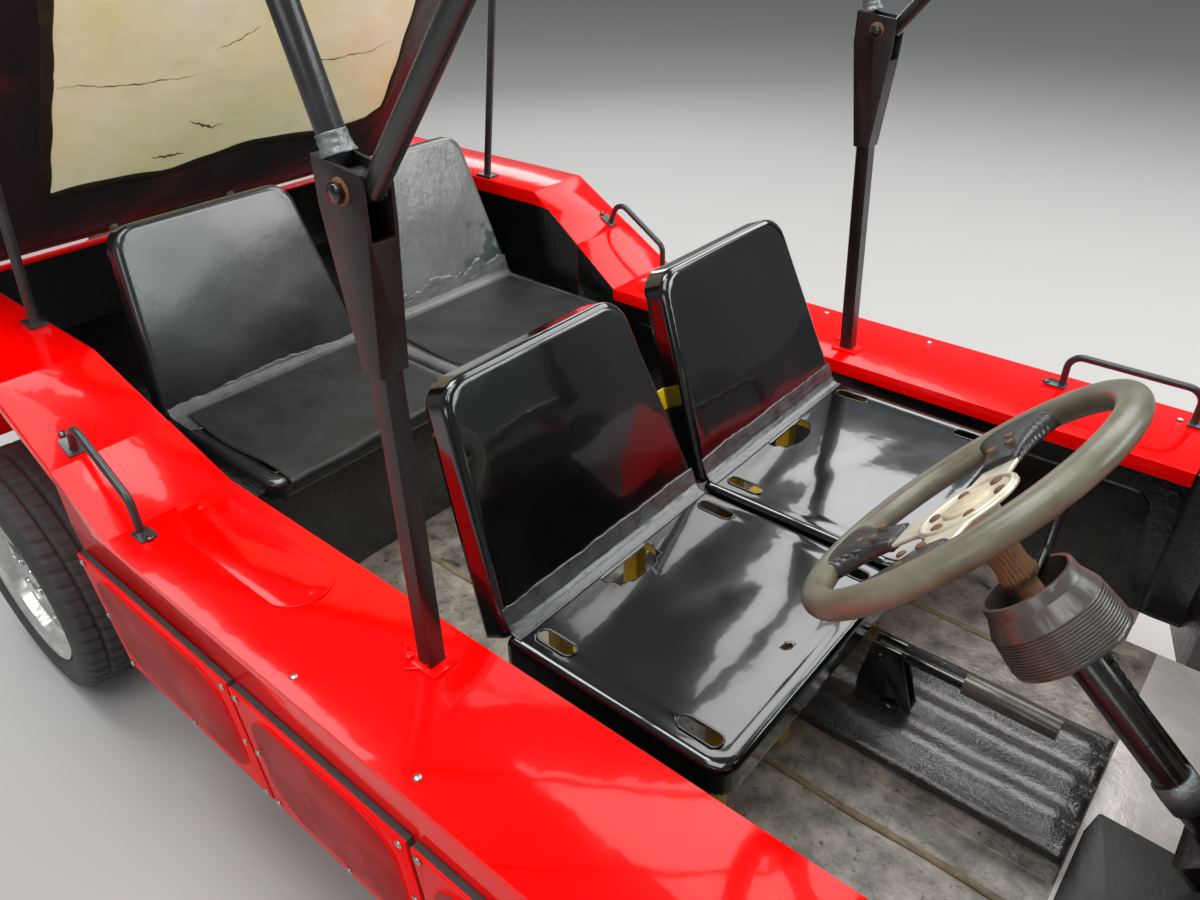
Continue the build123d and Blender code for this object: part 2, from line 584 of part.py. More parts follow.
def rim(x, y, side, z=TYRE_RADIUS):
    """A cast rim: barrel, rolled lips and a dished centre with windows; side is +1 for the left."""
    half = RIM_WIDTH / 2
    seat = RIM_SEAT - FIT_GAP
    barrel = Polyline((seat - 8, -half), (RIM_RADIUS, -half), (RIM_RADIUS, -half + 5), (seat, -half + 12),
                      (seat, half - 12), (RIM_RADIUS, half - 5), (RIM_RADIUS, half), (seat - 8, half),
                      close=True)
    body = revolve(make_face(barrel), axis=Axis.Y)
    disc = Polyline((AXLE_RADIUS + FIT_GAP, HUB_SEAT), (HUB_RADIUS, HUB_SEAT), (seat - 6, 28), (seat - 6, 44),
                    (62, 34), (HUB_RADIUS, 46), (AXLE_RADIUS + FIT_GAP, 46), close=True)
    centre = revolve(make_face(disc), axis=Axis.Y)
    near, far = WINDOW_RADII
    narrow, wide = WINDOW_HALVES
    window = Polygon((near, -narrow), (far, -wide), (far, wide), (near, narrow), align=None)
    window = fillet(window.vertices(), 6)
    for k in range(RIM_SPOKES):
        turned = Plane.XZ * Rot(0, 0, k * 360 / RIM_SPOKES) * window
        centre -= Pos(0, 100, 0) * extrude(turned, amount=100)
    wheel = body + centre
    if side < 0:
        wheel = mirrored(wheel)
    return Pos(x, y, z) * wheel


def spare():
    """The spare wheel's tyre and rim, standing against the tail panel."""
    place = Pos(SPARE_X, 0, SPARE_Z) * Rot(0, 0, 90)
    return place * tyre(0, 0, 0), place * rim(0, 0, 1, 0)


def knuckle(side):
    """Upright that carries a front wheel: kingpin, stub axle and hub flange."""
    wheel_y = FRONT_TRACK / 2
    pin_y = wheel_y - KINGPIN_INSET
    pin = Pos(FRONT_AXLE, pin_y, TYRE_RADIUS) * Cylinder(KINGPIN_RADIUS, 2 * KINGPIN_HALF)
    axle = (FRONT_AXLE, wheel_y + AXLE_END, TYRE_RADIUS)
    shape = pin + round_bar((FRONT_AXLE, pin_y, TYRE_RADIUS), axle, AXLE_RADIUS)
    shape += round_bar((FRONT_AXLE, wheel_y - HUB_BACK, TYRE_RADIUS),
                       (FRONT_AXLE, wheel_y + HUB_SEAT - FIT_GAP, TYRE_RADIUS), HUB_RADIUS)
    return shape if side > 0 else mirrored(shape)


def tow_ear(x, z, root_x, root_z0, root_z1, out):
    """An upright plate with the tow eye's bore; out is +1 ahead of its root and -1 behind it."""
    rim_x = x + out * (TOW_EYE_RADIUS + TOW_EYE_WALL - 1)
    tall = 2 * TOW_EYE_WALL
    ear = side_plate([(root_x, root_z0), (root_x, root_z1), (x - out * 20, root_z1), (x, z + tall),
                      (rim_x, z + TOW_EYE_WALL), (rim_x, z - TOW_EYE_WALL), (x, z - tall),
                      (x - out * 40, root_z0)], -TOW_EAR_HALF, TOW_EAR_HALF)
    return ear - round_bar((x, -20, z), (x, 20, z), TOW_EYE_RADIUS)


def front_suspension():
    """Subframe rails and cross members with the tow eye, and two arms a side that hold the kingpins."""
    pin_y = FRONT_TRACK / 2 - KINGPIN_INSET
    outer = BAY_HALF - SHEET - FIT_GAP
    rail = block(RAIL_REAR, NOSE - SHEET - FIT_GAP, RAIL_INNER, outer, RAIL_BOTTOM, RAIL_TOP + 20)
    inner = RAIL_INNER - FIT_GAP
    rear_x, cross_x = FRONT_AXLE - 17, NOSE - FRONT_CROSS_SET
    rear_cross = block(rear_x, rear_x + CROSS_WIDTH, -inner, inner, CROSS_BOTTOM, RAIL_TOP)
    front_cross = block(cross_x, cross_x + CROSS_WIDTH, -inner, inner, CROSS_BOTTOM, RAIL_TOP)
    front_cross += tow_ear(NOSE + TOW_REACH, TOW_EYE_Z, cross_x + 35, RAIL_BOTTOM, RAIL_TOP + 20, 1)
    under = TYRE_RADIUS - KINGPIN_HALF - ARM_THICK - 0.5
    post_half = RAIL_INNER + ARM_HALF * 2
    post = block(FRONT_AXLE - ARM_HALF, FRONT_AXLE + ARM_HALF, RAIL_INNER, post_half, under, RAIL_BOTTOM + 5)
    rail += post
    solids = [rail, mirrored(rail), rear_cross, front_cross]
    for z, root in ((under, post_half), (TYRE_RADIUS + KINGPIN_HALF + 0.5, outer)):
        arm = block(FRONT_AXLE - ARM_HALF, FRONT_AXLE + ARM_HALF, root + FIT_GAP, pin_y, z, z + ARM_THICK)
        arm += Pos(FRONT_AXLE, pin_y, z + ARM_THICK / 2) * Cylinder(KINGPIN_RADIUS + 6, ARM_THICK)
        solids += [arm, mirrored(arm)]
    return group(solids)


def rear_suspension():
    """Rear subframe with its tow eye, and trailing arms with their stub axles."""
    y0, y1 = REAR_RAIL
    low, high = REAR_FRAME_BOTTOM, REAR_FRAME_TOP
    side = block(REAR_FRAME_END, REAR_FRAME_FRONT, y0, y1, low, high)
    inner = y0 - FIT_GAP
    bar = CROSS_WIDTH - 10
    front_cross = block(REAR_FRAME_FRONT - bar, REAR_FRAME_FRONT, -inner, inner, low - 30, high - 10)
    rear_cross = block(REAR_FRAME_END, REAR_FRAME_END + bar, -inner, inner, low, high)
    rear_cross += tow_ear(*REAR_TOW_EYE, REAR_FRAME_END + 20, low, high, -1)
    under = DECK_TOP - LUGGAGE_BOARD - 2 * FIT_GAP - SHEET
    middle = (REAR_FRAME_END + REAR_FRAME_FRONT) / 2
    tower = block(middle, middle + bar, -inner, inner, low, under)
    a0, a1 = TRAIL_ARM
    arm = block(REAR_AXLE - 30, REAR_FRAME_FRONT - 10, a0, a1, TYRE_RADIUS - 26, TYRE_RADIUS + 24)
    arm += block(REAR_FRAME_FRONT - 60, REAR_FRAME_FRONT - 10, y1 - 20, a1, TYRE_RADIUS - 26, low - FIT_GAP)
    wheel_y = REAR_TRACK / 2
    arm += round_bar((REAR_AXLE, a1, TYRE_RADIUS), (REAR_AXLE, wheel_y + AXLE_END, TYRE_RADIUS), AXLE_RADIUS)
    arm += round_bar((REAR_AXLE, a1, TYRE_RADIUS), (REAR_AXLE, wheel_y + HUB_SEAT - FIT_GAP, TYRE_RADIUS),
                     HUB_RADIUS)
    return group([side, mirrored(side), front_cross, rear_cross, tower, arm, mirrored(arm)])


def exhaust():
    """Pipe from the engine's rear face, under the floor, through the silencer to the tail."""
    y = PIPE_Y
    engine = FIREWALL + ENGINE_REAR_GAP
    x0, x1, width, height = SILENCER
    out_y = 2 * PIPE_Y
    pipe = bent_bar([(engine - FIT_GAP, y, 430), (engine - 52, y, 430), (engine - 52, y, PIPE_Z),
                     (x1 - 20, y, PIPE_Z)], 40, PIPE_RADIUS)
    box = block(x0, x1, y - width / 2, y + width / 2, PIPE_Z - 25 - height / 2, PIPE_Z - 25 + height / 2)
    pipe += fillet(box.edges().filter_by(Axis.X), 30)
    pipe += bent_bar([(x0 + 20, y, PIPE_Z - 30), (x0 - 90, y, PIPE_Z - 30), (x0 - 300, out_y, PIPE_Z - 30),
                      (PIPE_END, out_y, PIPE_Z - 30)], 60, PIPE_RADIUS)
    for x in (300, -430):
        pipe += block(x - 4, x + 4, y - 14, y + 14, PIPE_Z, FLOOR_TOP - FLOOR_SHEET - FIT_GAP)
    return pipe


# Steering

def along_column(distance):
    """A point on the column's axis, measured down from the steering wheel's middle."""
    tilt = math.radians(COLUMN_TILT)
    return (WHEEL_HUB[0] + distance * math.cos(tilt), DRIVER_Y, WHEEL_HUB[1] - distance * math.sin(tilt))


def column_plane(distance):
    """A plane square to the column, facing the driver."""
    tilt = math.radians(COLUMN_TILT)
    return Plane(origin=along_column(distance), x_dir=(0, 1, 0), z_dir=(-math.cos(tilt), 0, math.sin(tilt)))


def steering_wheel():
    """Thick rim, the dished plate with its three arms, a moulded pad on each arm, and the short shaft."""
    grip = revolve(Plane.XZ * Pos(STEER_RADIUS, 0, 0) * Circle(STEER_GRIP), axis=Axis.Z)
    face = Plane.XY.offset(-STEER_SET)
    back = Plane.XY.offset(-STEER_SET - STEER_PLATE)
    under = Plane.XY.offset(-STEER_SET - (STEER_PLATE + PAD_THICK) / 2)
    plate = extrude(back * Circle(STEER_HUB), amount=STEER_PLATE)
    plate += extrude(face * (Circle(STEER_HUB - 2) - Circle(STEER_HUB - 7)), amount=3)
    plate += extrude(face * Circle(STEER_CAP), amount=3)
    root, tip = SPOKE_WIDTHS
    near, far = PAD_WIDTHS
    for angle in STEER_SPOKES:
        turn = Rot(0, 0, angle)
        arm = Polygon((STEER_CAP, -root / 2), (PAD_START + 12, -tip / 2), (PAD_START + 12, tip / 2),
                      (STEER_CAP, root / 2), align=None)
        pad = Polygon((PAD_START, -near / 2), (STEER_RADIUS - 6, -far / 2), (STEER_RADIUS - 6, far / 2),
                      (PAD_START, near / 2), align=None)
        plate += extrude(back * turn * arm, amount=STEER_PLATE)
        plate += extrude(under * turn * pad, amount=PAD_THICK)
    depth = STEER_SET + STEER_PLATE
    shaft = extrude(back * Circle(SHAFT_RADIUS), amount=-(COLUMN_TOP - 1 - depth))
    collar = extrude(back * Circle(2 * SHAFT_RADIUS), amount=-(40 - depth))
    return column_plane(0) * (grip + plate + shaft + collar)


def steering_boss():
    """The ribbed cup round the top of the column."""
    wall = BOSS_WALL
    points = [(BOSS_MOUTH - wall, 0), (BOSS_MOUTH, 0), (BOSS_MOUTH, -14)]
    step = (BOSS_LENGTH - 34) / BOSS_RIBS
    for k in range(BOSS_RIBS):
        z = -34 - k * step
        points += [(BOSS_FOOT, z), (BOSS_FOOT, z - step * 0.6), (BOSS_FOOT - 2, z - step * 0.6),
                   (BOSS_FOOT - 2, z - step)]
    points += [(BOSS_FOOT - wall, -BOSS_LENGTH), (BOSS_MOUTH - wall, -14)]
    cup = revolve(make_face(Plane.XZ * Polyline(*points, close=True)), axis=Axis.Z)
    floor = Cylinder(BOSS_FOOT - 1, wall, align=(Align.CENTER, Align.CENTER, Align.MAX))
    cup += Pos(0, 0, -BOSS_LENGTH) * (floor - Cylinder(COLUMN_RADIUS + FIT_GAP, 60))
    return column_plane(BOSS_START) * cup


def steering_column():
    """Outer tube, its strap to the scuttle, the lever beside it and the rod along it."""
    tube = extrude(column_plane(COLUMN_TOP) * Circle(COLUMN_RADIUS), amount=-(COLUMN_END - COLUMN_TOP))
    rod = extrude(column_plane(BOSS_START + BOSS_LENGTH + 10) * Pos(34, 6, 0) * Circle(7),
                  amount=-(COLUMN_STRAP - BOSS_START - BOSS_LENGTH - 10))
    clamp = extrude(column_plane(COLUMN_STRAP - 15) * RectangleRounded(96, 56, 12), amount=-26)
    shape = tube + rod + clamp
    shape -= side_plate([(TOE_FOOT - 200, FLOOR_TOP), (TOE_FOOT, FLOOR_TOP), (FIREWALL - FIT_GAP, TOE_HEAD),
                         (FIREWALL - FIT_GAP, WING_TOP), (FIREWALL + 400, WING_TOP), (FIREWALL + 400, 0),
                         (TOE_FOOT - 200, 0)], -500, 500)
    x, y, z = along_column(COLUMN_STRAP)
    shape += block(x - 15, x + 15, y - 26, y + 26, z, WING_TOP - FIT_GAP)
    return shape


def pedals():
    """Clutch, brake and throttle pedals hung from one rod on the firewall."""
    rod_x, rod_z = FIREWALL - 22, TOE_HEAD + 140
    shape = round_bar((rod_x, DRIVER_Y - 134, rod_z), (rod_x, DRIVER_Y + 78, rod_z), 8)
    for y in (DRIVER_Y - 132, DRIVER_Y + 70):
        shape += block(rod_x - 10, FIREWALL - FIT_GAP, y, y + 6, rod_z - 14, rod_z + 14)
    for y, half in ((DRIVER_Y + 62, 24), (DRIVER_Y - 50, 24), (DRIVER_Y - 116, 17)):
        foot = (FIREWALL - 72, FLOOR_TOP + 108)
        shape += bent_bar([(rod_x, y, rod_z), (rod_x - 36, y, rod_z - 120), (foot[0], y, foot[1])], 60, 6)
        pad = Plane(origin=(foot[0], y, foot[1]), x_dir=(0, 1, 0), z_dir=(-1, 0, 0.35))
        shape += extrude(pad * RectangleRounded(2 * half, 56, 8), amount=8)
    return shape


def gear_lever():
    """A bent lever out of the toe board, with its knob and boot."""
    z = FLOOR_TOP + 90
    x = TOE_FOOT + (FIREWALL - TOE_FOOT) * (z - FLOOR_TOP) / (TOE_HEAD - FLOOR_TOP) - FIT_GAP
    lever = bent_bar([(x - 4, 40, z), (x - 60, 40, z + 40), (x - 85, 30, z + 170)], 50, 7)
    lever += Pos(x - 87, 29, z + 180) * Sphere(22)
    boot = extrude(Plane(origin=(x - 30, 40, z + 22), z_dir=(1, 0, -0.7)) * Circle(18), amount=60, taper=-18)
    board = side_plate([(TOE_FOOT - FIT_GAP, FLOOR_TOP), (FIREWALL - FIT_GAP, TOE_HEAD),
                        (FIREWALL + 300, TOE_HEAD), (FIREWALL + 300, FLOOR_TOP)], -200, 200)
    return (lever + boot) - board


def handbrake():
    """The lever between the front seats: two cheeks on the hump, a tube and its grip."""
    top = FLOOR_TOP + HUMP_HEIGHT + FIT_GAP
    y = (RIB_Y[0] + RIB_Y[1]) / 2
    lever_z = FLOOR_TOP + 151
    shape = None
    for side in (-1, 1):
        inner = y + side * 8
        cheek = side_plate([(372, top), (446, top), (452, top + 34), (424, lever_z + 8), (384, lever_z + 8),
                            (372, top + 50)], min(inner, inner + side * 4), max(inner, inner + side * 4))
        cheek -= round_bar((425, y - 30, top + 30), (425, y + 30, top + 30), 11)
        shape = cheek if shape is None else shape + cheek
    shape += block(372, 446, y - 12, y + 12, top, top + 4)
    shape += round_bar((398, y - 15, lever_z - 14), (398, y + 15, lever_z - 14), 7)
    shape += round_bar((390, y, lever_z - 2), (520, y, lever_z - 2), 8.5)
    shape += round_bar((508, y, lever_z), (627, y, lever_z), 15)
    return shape


# Seats

def seat(crease_x, crease_z, lean, flange, y):
    """A pressed sheet seat: base and tapered back, each rolled over into a flange, with its holes."""
    half = SEAT_WIDTH / 2
    roll = min(SEAT_ROLL, 0.4 * flange)
    base = block(-SEAT_FLANGE, SEAT_BASE_LENGTH, -half, half, -flange, 0)
    base = fillet(base.edges().filter_by(Axis.Z).sort_by(Axis.X)[2:], SEAT_NOSE_CORNER)
    top = base.faces().sort_by(Axis.Z)[-1]
    rim = [e for e in top.edges() if e.center().X > -SEAT_FLANGE + 1]
    hollow = block(SEAT_SHEET - SEAT_FLANGE, SEAT_BASE_LENGTH - SEAT_SHEET, SEAT_SHEET - half,
                   half - SEAT_SHEET, -flange, -SEAT_SHEET)
    hollow = fillet(hollow.edges().filter_by(Axis.Z).sort_by(Axis.X)[2:], SEAT_NOSE_CORNER - SEAT_SHEET)
    base = fillet(rim, roll) - hollow
    width, tall = SEAT_TOP_WIDTH / 2, SEAT_BACK_HEIGHT
    outline = Polygon((-half, -30), (half, -30), (width, tall), (-width, tall), align=None)
    outline = fillet(outline.vertices().sort_by(Axis.Y)[2:], SEAT_CORNER)
    inside = offset(outline, -SEAT_SHEET)
    back = extrude(outline, amount=-SEAT_FLANGE)
    back = fillet(back.faces().sort_by(Axis.Z)[-1].edges(), SEAT_ROLL)
    back -= Pos(0, 0, -SEAT_SHEET) * extrude(inside, amount=-SEAT_FLANGE)
    back = Rot(0, -lean, 0) * (Plane(origin=(0, 0, 0), x_dir=(0, 1, 0), z_dir=(1, 0, 0)) * back)
    back -= block(-200, 200, -300, 300, -200, 0)
    shape = base + back
    for x, side, length, wide, turn in SEAT_SLOTS:
        slot = Pos(x, side, -SEAT_SHEET - 10) * Rot(0, 0, turn) * SlotOverall(length, wide)
        shape -= extrude(slot, amount=SEAT_SHEET + 20)
    start, radius = SEAT_EYE
    round_end = Circle(radius) & Pos(radius / 2, 0, 0) * Rectangle(radius, 2 * radius)
    eye = Pos(start, 0, -SEAT_SHEET - 10) * round_end
    shape -= extrude(eye, amount=SEAT_SHEET + 11)
    place, drain = SEAT_DRAIN
    shape -= Pos(place, 0, 0) * Cylinder(drain, 4 * SEAT_SHEET)
    return Pos(crease_x, y, crease_z) * shape


def seat_frames():
    """Legs and rails under the front seats, and the strap that ties their backs."""
    x0, z0 = FRONT_SEAT[0], FRONT_SEAT[1]
    under = z0 - SEAT_SHEET - FIT_GAP
    bar = FRAME_BAR
    a, b = FRAME_ENDS
    c, d = FRAME_SIDES
    frame = None
    for y0, y1 in ((c, c + bar), (d - bar, d)):
        rail = block(x0 + a, x0 + b, y0, y1, under - bar, under)
        frame = rail if frame is None else frame + rail
        for x in (a, b - bar):
            frame += block(x0 + x, x0 + x + bar, y0, y1, FLOOR_TOP, under)
    for x, drop in ((a, FRAME_LOW_BAR), (b - bar, FRAME_FRONT_DROP)):
        frame += block(x0 + x, x0 + x + bar, c, d, under - bar - drop, under - drop)
    lean = FRONT_SEAT[2]
    low, high = TIE_RISE
    tie = block(-SEAT_FLANGE - FIT_GAP - TIE_SHEET, -SEAT_FLANGE - FIT_GAP, -TIE_HALF, TIE_HALF, low, high)
    tie = Pos(x0, 0, z0) * Rot(0, -lean, 0) * tie
    return group([frame, mirrored(frame), tie])


def rear_seat_mats():
    """A loose mat on each rear seat's base, its front edge hanging over."""
    x0, z0 = REAR_SEAT[0], REAR_SEAT[1] + FIT_GAP
    y0, y1 = SEAT_Y - MAT_HALF, SEAT_Y + MAT_HALF
    front = x0 + MAT_END
    mat = block(x0 + MAT_START, front, y0, y1, z0, z0 + MAT_SHEET)
    mat += block(front - MAT_SHEET, front, y0, y1, z0 - MAT_DROP, z0)
    return both(mat)


# Hood frame

def post(side):
    """One post: foot plate, square tube, and the folded head that takes the two hoops."""
    foot_x, foot_y = POST_FOOT
    px, py, pz = POST_HEAD
    half, deep, thick = FOOT_PLATE
    low = pz - POST_TAPER
    shape = square_bar((foot_x, side * foot_y, PONTOON_TOP + thick), (px, side * py, low + 10), POST_HALF)
    shape += block(foot_x - half, foot_x + half, side * foot_y - deep, side * foot_y + deep, PONTOON_TOP,
                   PONTOON_TOP + thick)
    head = side_plate([(px - 36, pz + 26), (px + 30, pz + 18), (px + 28, pz - 30), (px + POST_HALF + 2, low),
                       (px - POST_HALF - 2, low), (px - 36, pz - 20)], side * py - CHEEK, side * py + CHEEK)
    slot = CHEEK - CHEEK_SHEET
    channel = side_plate([(px - 22, pz - 20), (px - 18, pz + 60), (px + 60, pz + 60), (px + 60, pz - 42),
                          (px + 20, pz - 42), (px + POST_HALF - 4, low + 20), (px - POST_HALF + 4, low + 20)],
                         side * py - slot, side * py + slot)
    shape += head - channel
    shape += round_bar((px, side * py - CHEEK - 5, pz), (px, side * py + CHEEK + 5, pz), BOLT_RADIUS)
    return shape


def main_hoop():
    """The two posts on the pontoons and the rear hoop welded to their heads."""
    lean = math.radians(REAR_HOOP_LEAN)
    px, py, pz = POST_HEAD
    base = (px - 19, py, pz + 26)
    rise = HOOD_TOP - HOOP_TUBE - base[2]
    top_x = base[0] - rise * math.tan(lean)
    points = [base, (top_x, py, base[2] + rise), (top_x, -py, base[2] + rise), (base[0], -py, base[2])]
    return bent_bar(points, HOOP_BEND, HOOP_TUBE) + post(1) + post(-1)


def front_hoop():
    """The hoop that swings on the post bolts and leans forward."""
    lean = math.radians(FRONT_HOOP_LEAN)
    px, py, pz = POST_HEAD
    dx, dz = math.sin(lean), math.cos(lean)
    foot = (px + CRANK * dz + 14 * dx, pz - CRANK * dx + 14 * dz)
    reach = (HOOD_TOP - HOOP_TUBE - foot[1]) / math.cos(lean)
    head = (foot[0] + reach * dx, foot[1] + reach * dz)
    points = [(foot[0], py, foot[1]), (head[0], py, head[1]),
              (head[0], -py, head[1]), (foot[0], -py, foot[1])]
    hoop = bent_bar(points, HOOP_BEND, HOOP_TUBE - 2)
    for side in (-1, 1):
        eye = round_bar((px, side * py - 8, pz), (px, side * py + 8, pz), 16)
        eye += side_plate([(px, pz - 14), (px + 30, pz - 4), (foot[0] + 8, foot[1] + 10), (px, pz + 14)],
                          side * py - 8, side * py + 8)
        hoop += eye
    for side in (-1, 1):
        hoop -= round_bar((px, side * py - 20, pz), (px, side * py + 20, pz), BOLT_RADIUS + PIN_GAP)
    return hoop


def rear_bow():
    """Thin stays on the arches and the bow that the curtain hangs from."""
    foot_x, foot_y = STAY_FOOT
    points = [(foot_x, foot_y, ARCH_TOP + 4), (BOW_X, POST_HEAD[1], BOW_TOP),
              (BOW_X, -POST_HEAD[1], BOW_TOP), (foot_x, -foot_y, ARCH_TOP + 4)]
    shape = bent_bar(points, 70, STAY_TUBE)
    for y in (-foot_y, foot_y):
        shape += block(foot_x - 22, foot_x + 22, y - 14, y + 14, ARCH_TOP, ARCH_TOP + 5)
    return shape


def hood_curtain():
    """The rear curtain, from the tail panel's rim up to the bow."""
    x0, z0 = TAIL - CURTAIN_THICK, TAIL_TOP + FIT_GAP
    x1, z1 = BOW_X - 16, BOW_TOP
    run = math.hypot(x1 - x0, z1 - z0)
    nx, nz = -(z1 - z0) / run * CURTAIN_THICK, (x1 - x0) / run * CURTAIN_THICK
    return side_plate([(x0 + 8, z0), (x1, z1), (x1 + nx, z1 + nz), (x0 + 8 + nx, z0 + nz)],
                      -CURTAIN_HALF, CURTAIN_HALF)


# Windscreen

def screen_place():
    """Where the screen stands: on the scuttle, leaning back."""
    return Pos(SCREEN_FOOT, 0, SCREEN_AXIS) * Rot(0, -SCREEN_LEAN, 0) * Pos(0, 0, SCREEN_DROP)


def windscreen_frame():
    """A square-cornered frame hinged along its foot."""
    rail = SCREEN_RAIL
    outer = block(-rail / 2, rail / 2, -SCREEN_HALF, SCREEN_HALF, 0, SCREEN_HEIGHT)
    inner = block(-rail, rail, -SCREEN_HALF + rail, SCREEN_HALF - rail, rail, SCREEN_HEIGHT - rail)
    frame = outer - inner
    leaf = SCREEN_EYE_HALF
    for y in (-SCREEN_HINGE_Y, SCREEN_HINGE_Y):
        eye = round_bar((0, y - leaf, -SCREEN_DROP), (0, y + leaf, -SCREEN_DROP), SCREEN_EYE)
        eye += block(-SCREEN_EYE + 2, SCREEN_EYE - 2, y - leaf, y + leaf, -SCREEN_DROP, 2)
        frame += eye - round_bar((0, y - 30, -SCREEN_DROP), (0, y + 30, -SCREEN_DROP), SCREEN_PIN + PIN_GAP)
    return screen_place() * frame


def windscreen_glass():
    """The flat pane inside the frame."""
    edge = SCREEN_RAIL + FIT_GAP
    pane = block(-PANE / 2, PANE / 2, -SCREEN_HALF + edge, SCREEN_HALF - edge, edge, SCREEN_HEIGHT - edge)
    return screen_place() * pane


def mirrors():
    """A mirror on an arm at each side of the screen frame."""
    y = SCREEN_HALF + FIT_GAP
    arm = block(-8, 8, y, y + 6, MIRROR_RISE - 20, MIRROR_RISE + 20)
    arm += round_bar((0, y, MIRROR_RISE), (0, y + MIRROR_REACH, MIRROR_RISE), 5)
    width, height = MIRROR_SIZE
    face = Pos(0, y + MIRROR_REACH, MIRROR_RISE) * Rot(0, -90, 0) * RectangleRounded(height, width, 14)
    head = extrude(face, amount=MIRROR_DEPTH / 2, both=True)
    return screen_place() * both(arm + head)


# Dial and lamps

def speedometer():
    """The round dial in its pod on the scuttle's rear face."""
    pod = Pos(SCUTTLE_REAR - FIT_GAP, 0, WING_TOP + 8) * Rot(0, -90, 0) * (
        Cylinder(52, 46, align=(Align.CENTER, Align.CENTER, Align.MIN))
        - Pos(0, 0, 40) * Cylinder(46, 20, align=(Align.CENTER, Align.CENTER, Align.MIN)))
    return pod


def domed_lamp(y, z, radius, depth):
    """A round lamp that faces +X: rim, and a lens that bulges past it. Built at x = 0."""
    bulge = 0.16 * radius
    lens_edge = 0.9 * radius
    rim_face = Polyline((0, 0), (0.94 * radius, 0), (radius, 0.6 * depth), (radius, depth),
                        (lens_edge, depth), (lens_edge, depth - 4), (0, depth - 4), close=True)
    lamp = revolve(make_face(Plane.XZ * rim_face), axis=Axis.Z)
    globe = (lens_edge ** 2 + bulge ** 2) / (2 * bulge)
    ball = Pos(0, 0, depth + bulge - globe) * Sphere(globe)
    front = Cylinder(lens_edge, 50, align=(Align.CENTER, Align.CENTER, Align.MIN))
    lens = ball & Pos(0, 0, depth - 5) * front
    return Pos(0, y, z) * Rot(0, 90, 0) * (lamp + lens)


def headlamps():
    """Round headlamps on the nose panel."""
    return both(Pos(NOSE + FIT_GAP, 0, 0) * domed_lamp(*HEADLAMP))


def indicators():
    """Amber lamps on the wings' upright faces."""
    return both(Pos(NOSE + FIT_GAP, 0, 0) * domed_lamp(*INDICATOR))


def tail_lamps():
    """Round lamps on the rear faces of the arches."""
    lamps = []
    for y, z, radius, depth in TAIL_LAMPS:
        lamp = Pos(TAIL - FIT_GAP, 0, 0) * Rot(0, 0, 180) * domed_lamp(-y, z, radius, depth)
        lamps += [lamp, mirrored(lamp)]
    return group(lamps)


# Outside fittings

def front_bumper():
    """The round bar ahead of the nose, its ends bent back, on two straps to the nose panel."""
    x = NOSE + BUMPER_REACH
    z = BUMPER_Z
    bar = bent_bar([(x - 70, BUMPER_HALF, z), (x, BUMPER_HALF, z), (x, -BUMPER_HALF, z),
                    (x - 70, -BUMPER_HALF, z)], 60, BUMPER_TUBE)
    for side in (-1, 1):
        y = side * BUMPER_STRAP_Y
        bar += block(NOSE + FIT_GAP, x, y - 20, y + 20, z - 4, z + 4)
    return bar


def rear_bumpers():
    """A short round bar each side of the spare wheel."""
    z = REAR_BUMPER_Z
    y0, y1 = REAR_BUMPER
    reach = TAIL - REAR_BUMPER_REACH
    points = [(TAIL - FIT_GAP, y0, z), (reach, y0, z), (reach, y1, z), (TAIL - 30, y1, z)]
    return both(bent_bar(points, 40, BUMPER_TUBE))


def side_panels():
    """Three plates a side on their packing, each with a raised field, screwed to the outer wall."""
    top, bottom = PONTOON_TOP - SIDE_PANEL_DROP, PONTOON_BOTTOM
    foot_y = HALF_WIDTH - SIDE_TUCK + FIT_GAP
    head_y = foot_y + SIDE_TUCK * (top - bottom) / (PONTOON_TOP - LIP - bottom)
    height = math.hypot(top - bottom, head_y - foot_y)
    wall = Plane(origin=(0, foot_y, bottom), x_dir=(-1, 0, 0), z_dir=(0, top - bottom, foot_y - head_y))
    plates = []
    for x0, x1 in SIDE_PANELS:
        middle = Pos(-(x0 + x1) / 2, height / 2, 0)
        plate = extrude(wall * middle * Rectangle(x1 - x0, height), amount=SEAL + SIDE_PLATE)
        field = middle * Pos(0, SIDE_MARGIN / 4, SEAL + SIDE_PLATE)
        field *= RectangleRounded(x1 - x0 - 2 * SIDE_MARGIN, height - 1.5 * SIDE_MARGIN, SIDE_CORNER)
        plate += extrude(wall * field, amount=SIDE_FIELD)
        plates += [plate, mirrored(plate)]
    return group(plates)


def handle(points, ends):
    """A bent bar and its flattened ends: the bar's points, then each foot's place, slope and way."""
    bar = bent_bar(points, 24, HANDLE_BAR)
    length, half, thick = HANDLE_FOOT
    for x, y, z, slope, out in ends:
        foot = block(0, length, -half, half, FIT_GAP, thick)
        foot = fillet(foot.edges().filter_by(Axis.Z), 4)
        if out < 0:
            foot = Pos(-length, 0, 0) * foot
        bar += Pos(x, y, z) * Rot(0, slope, 0) * foot
    return bar


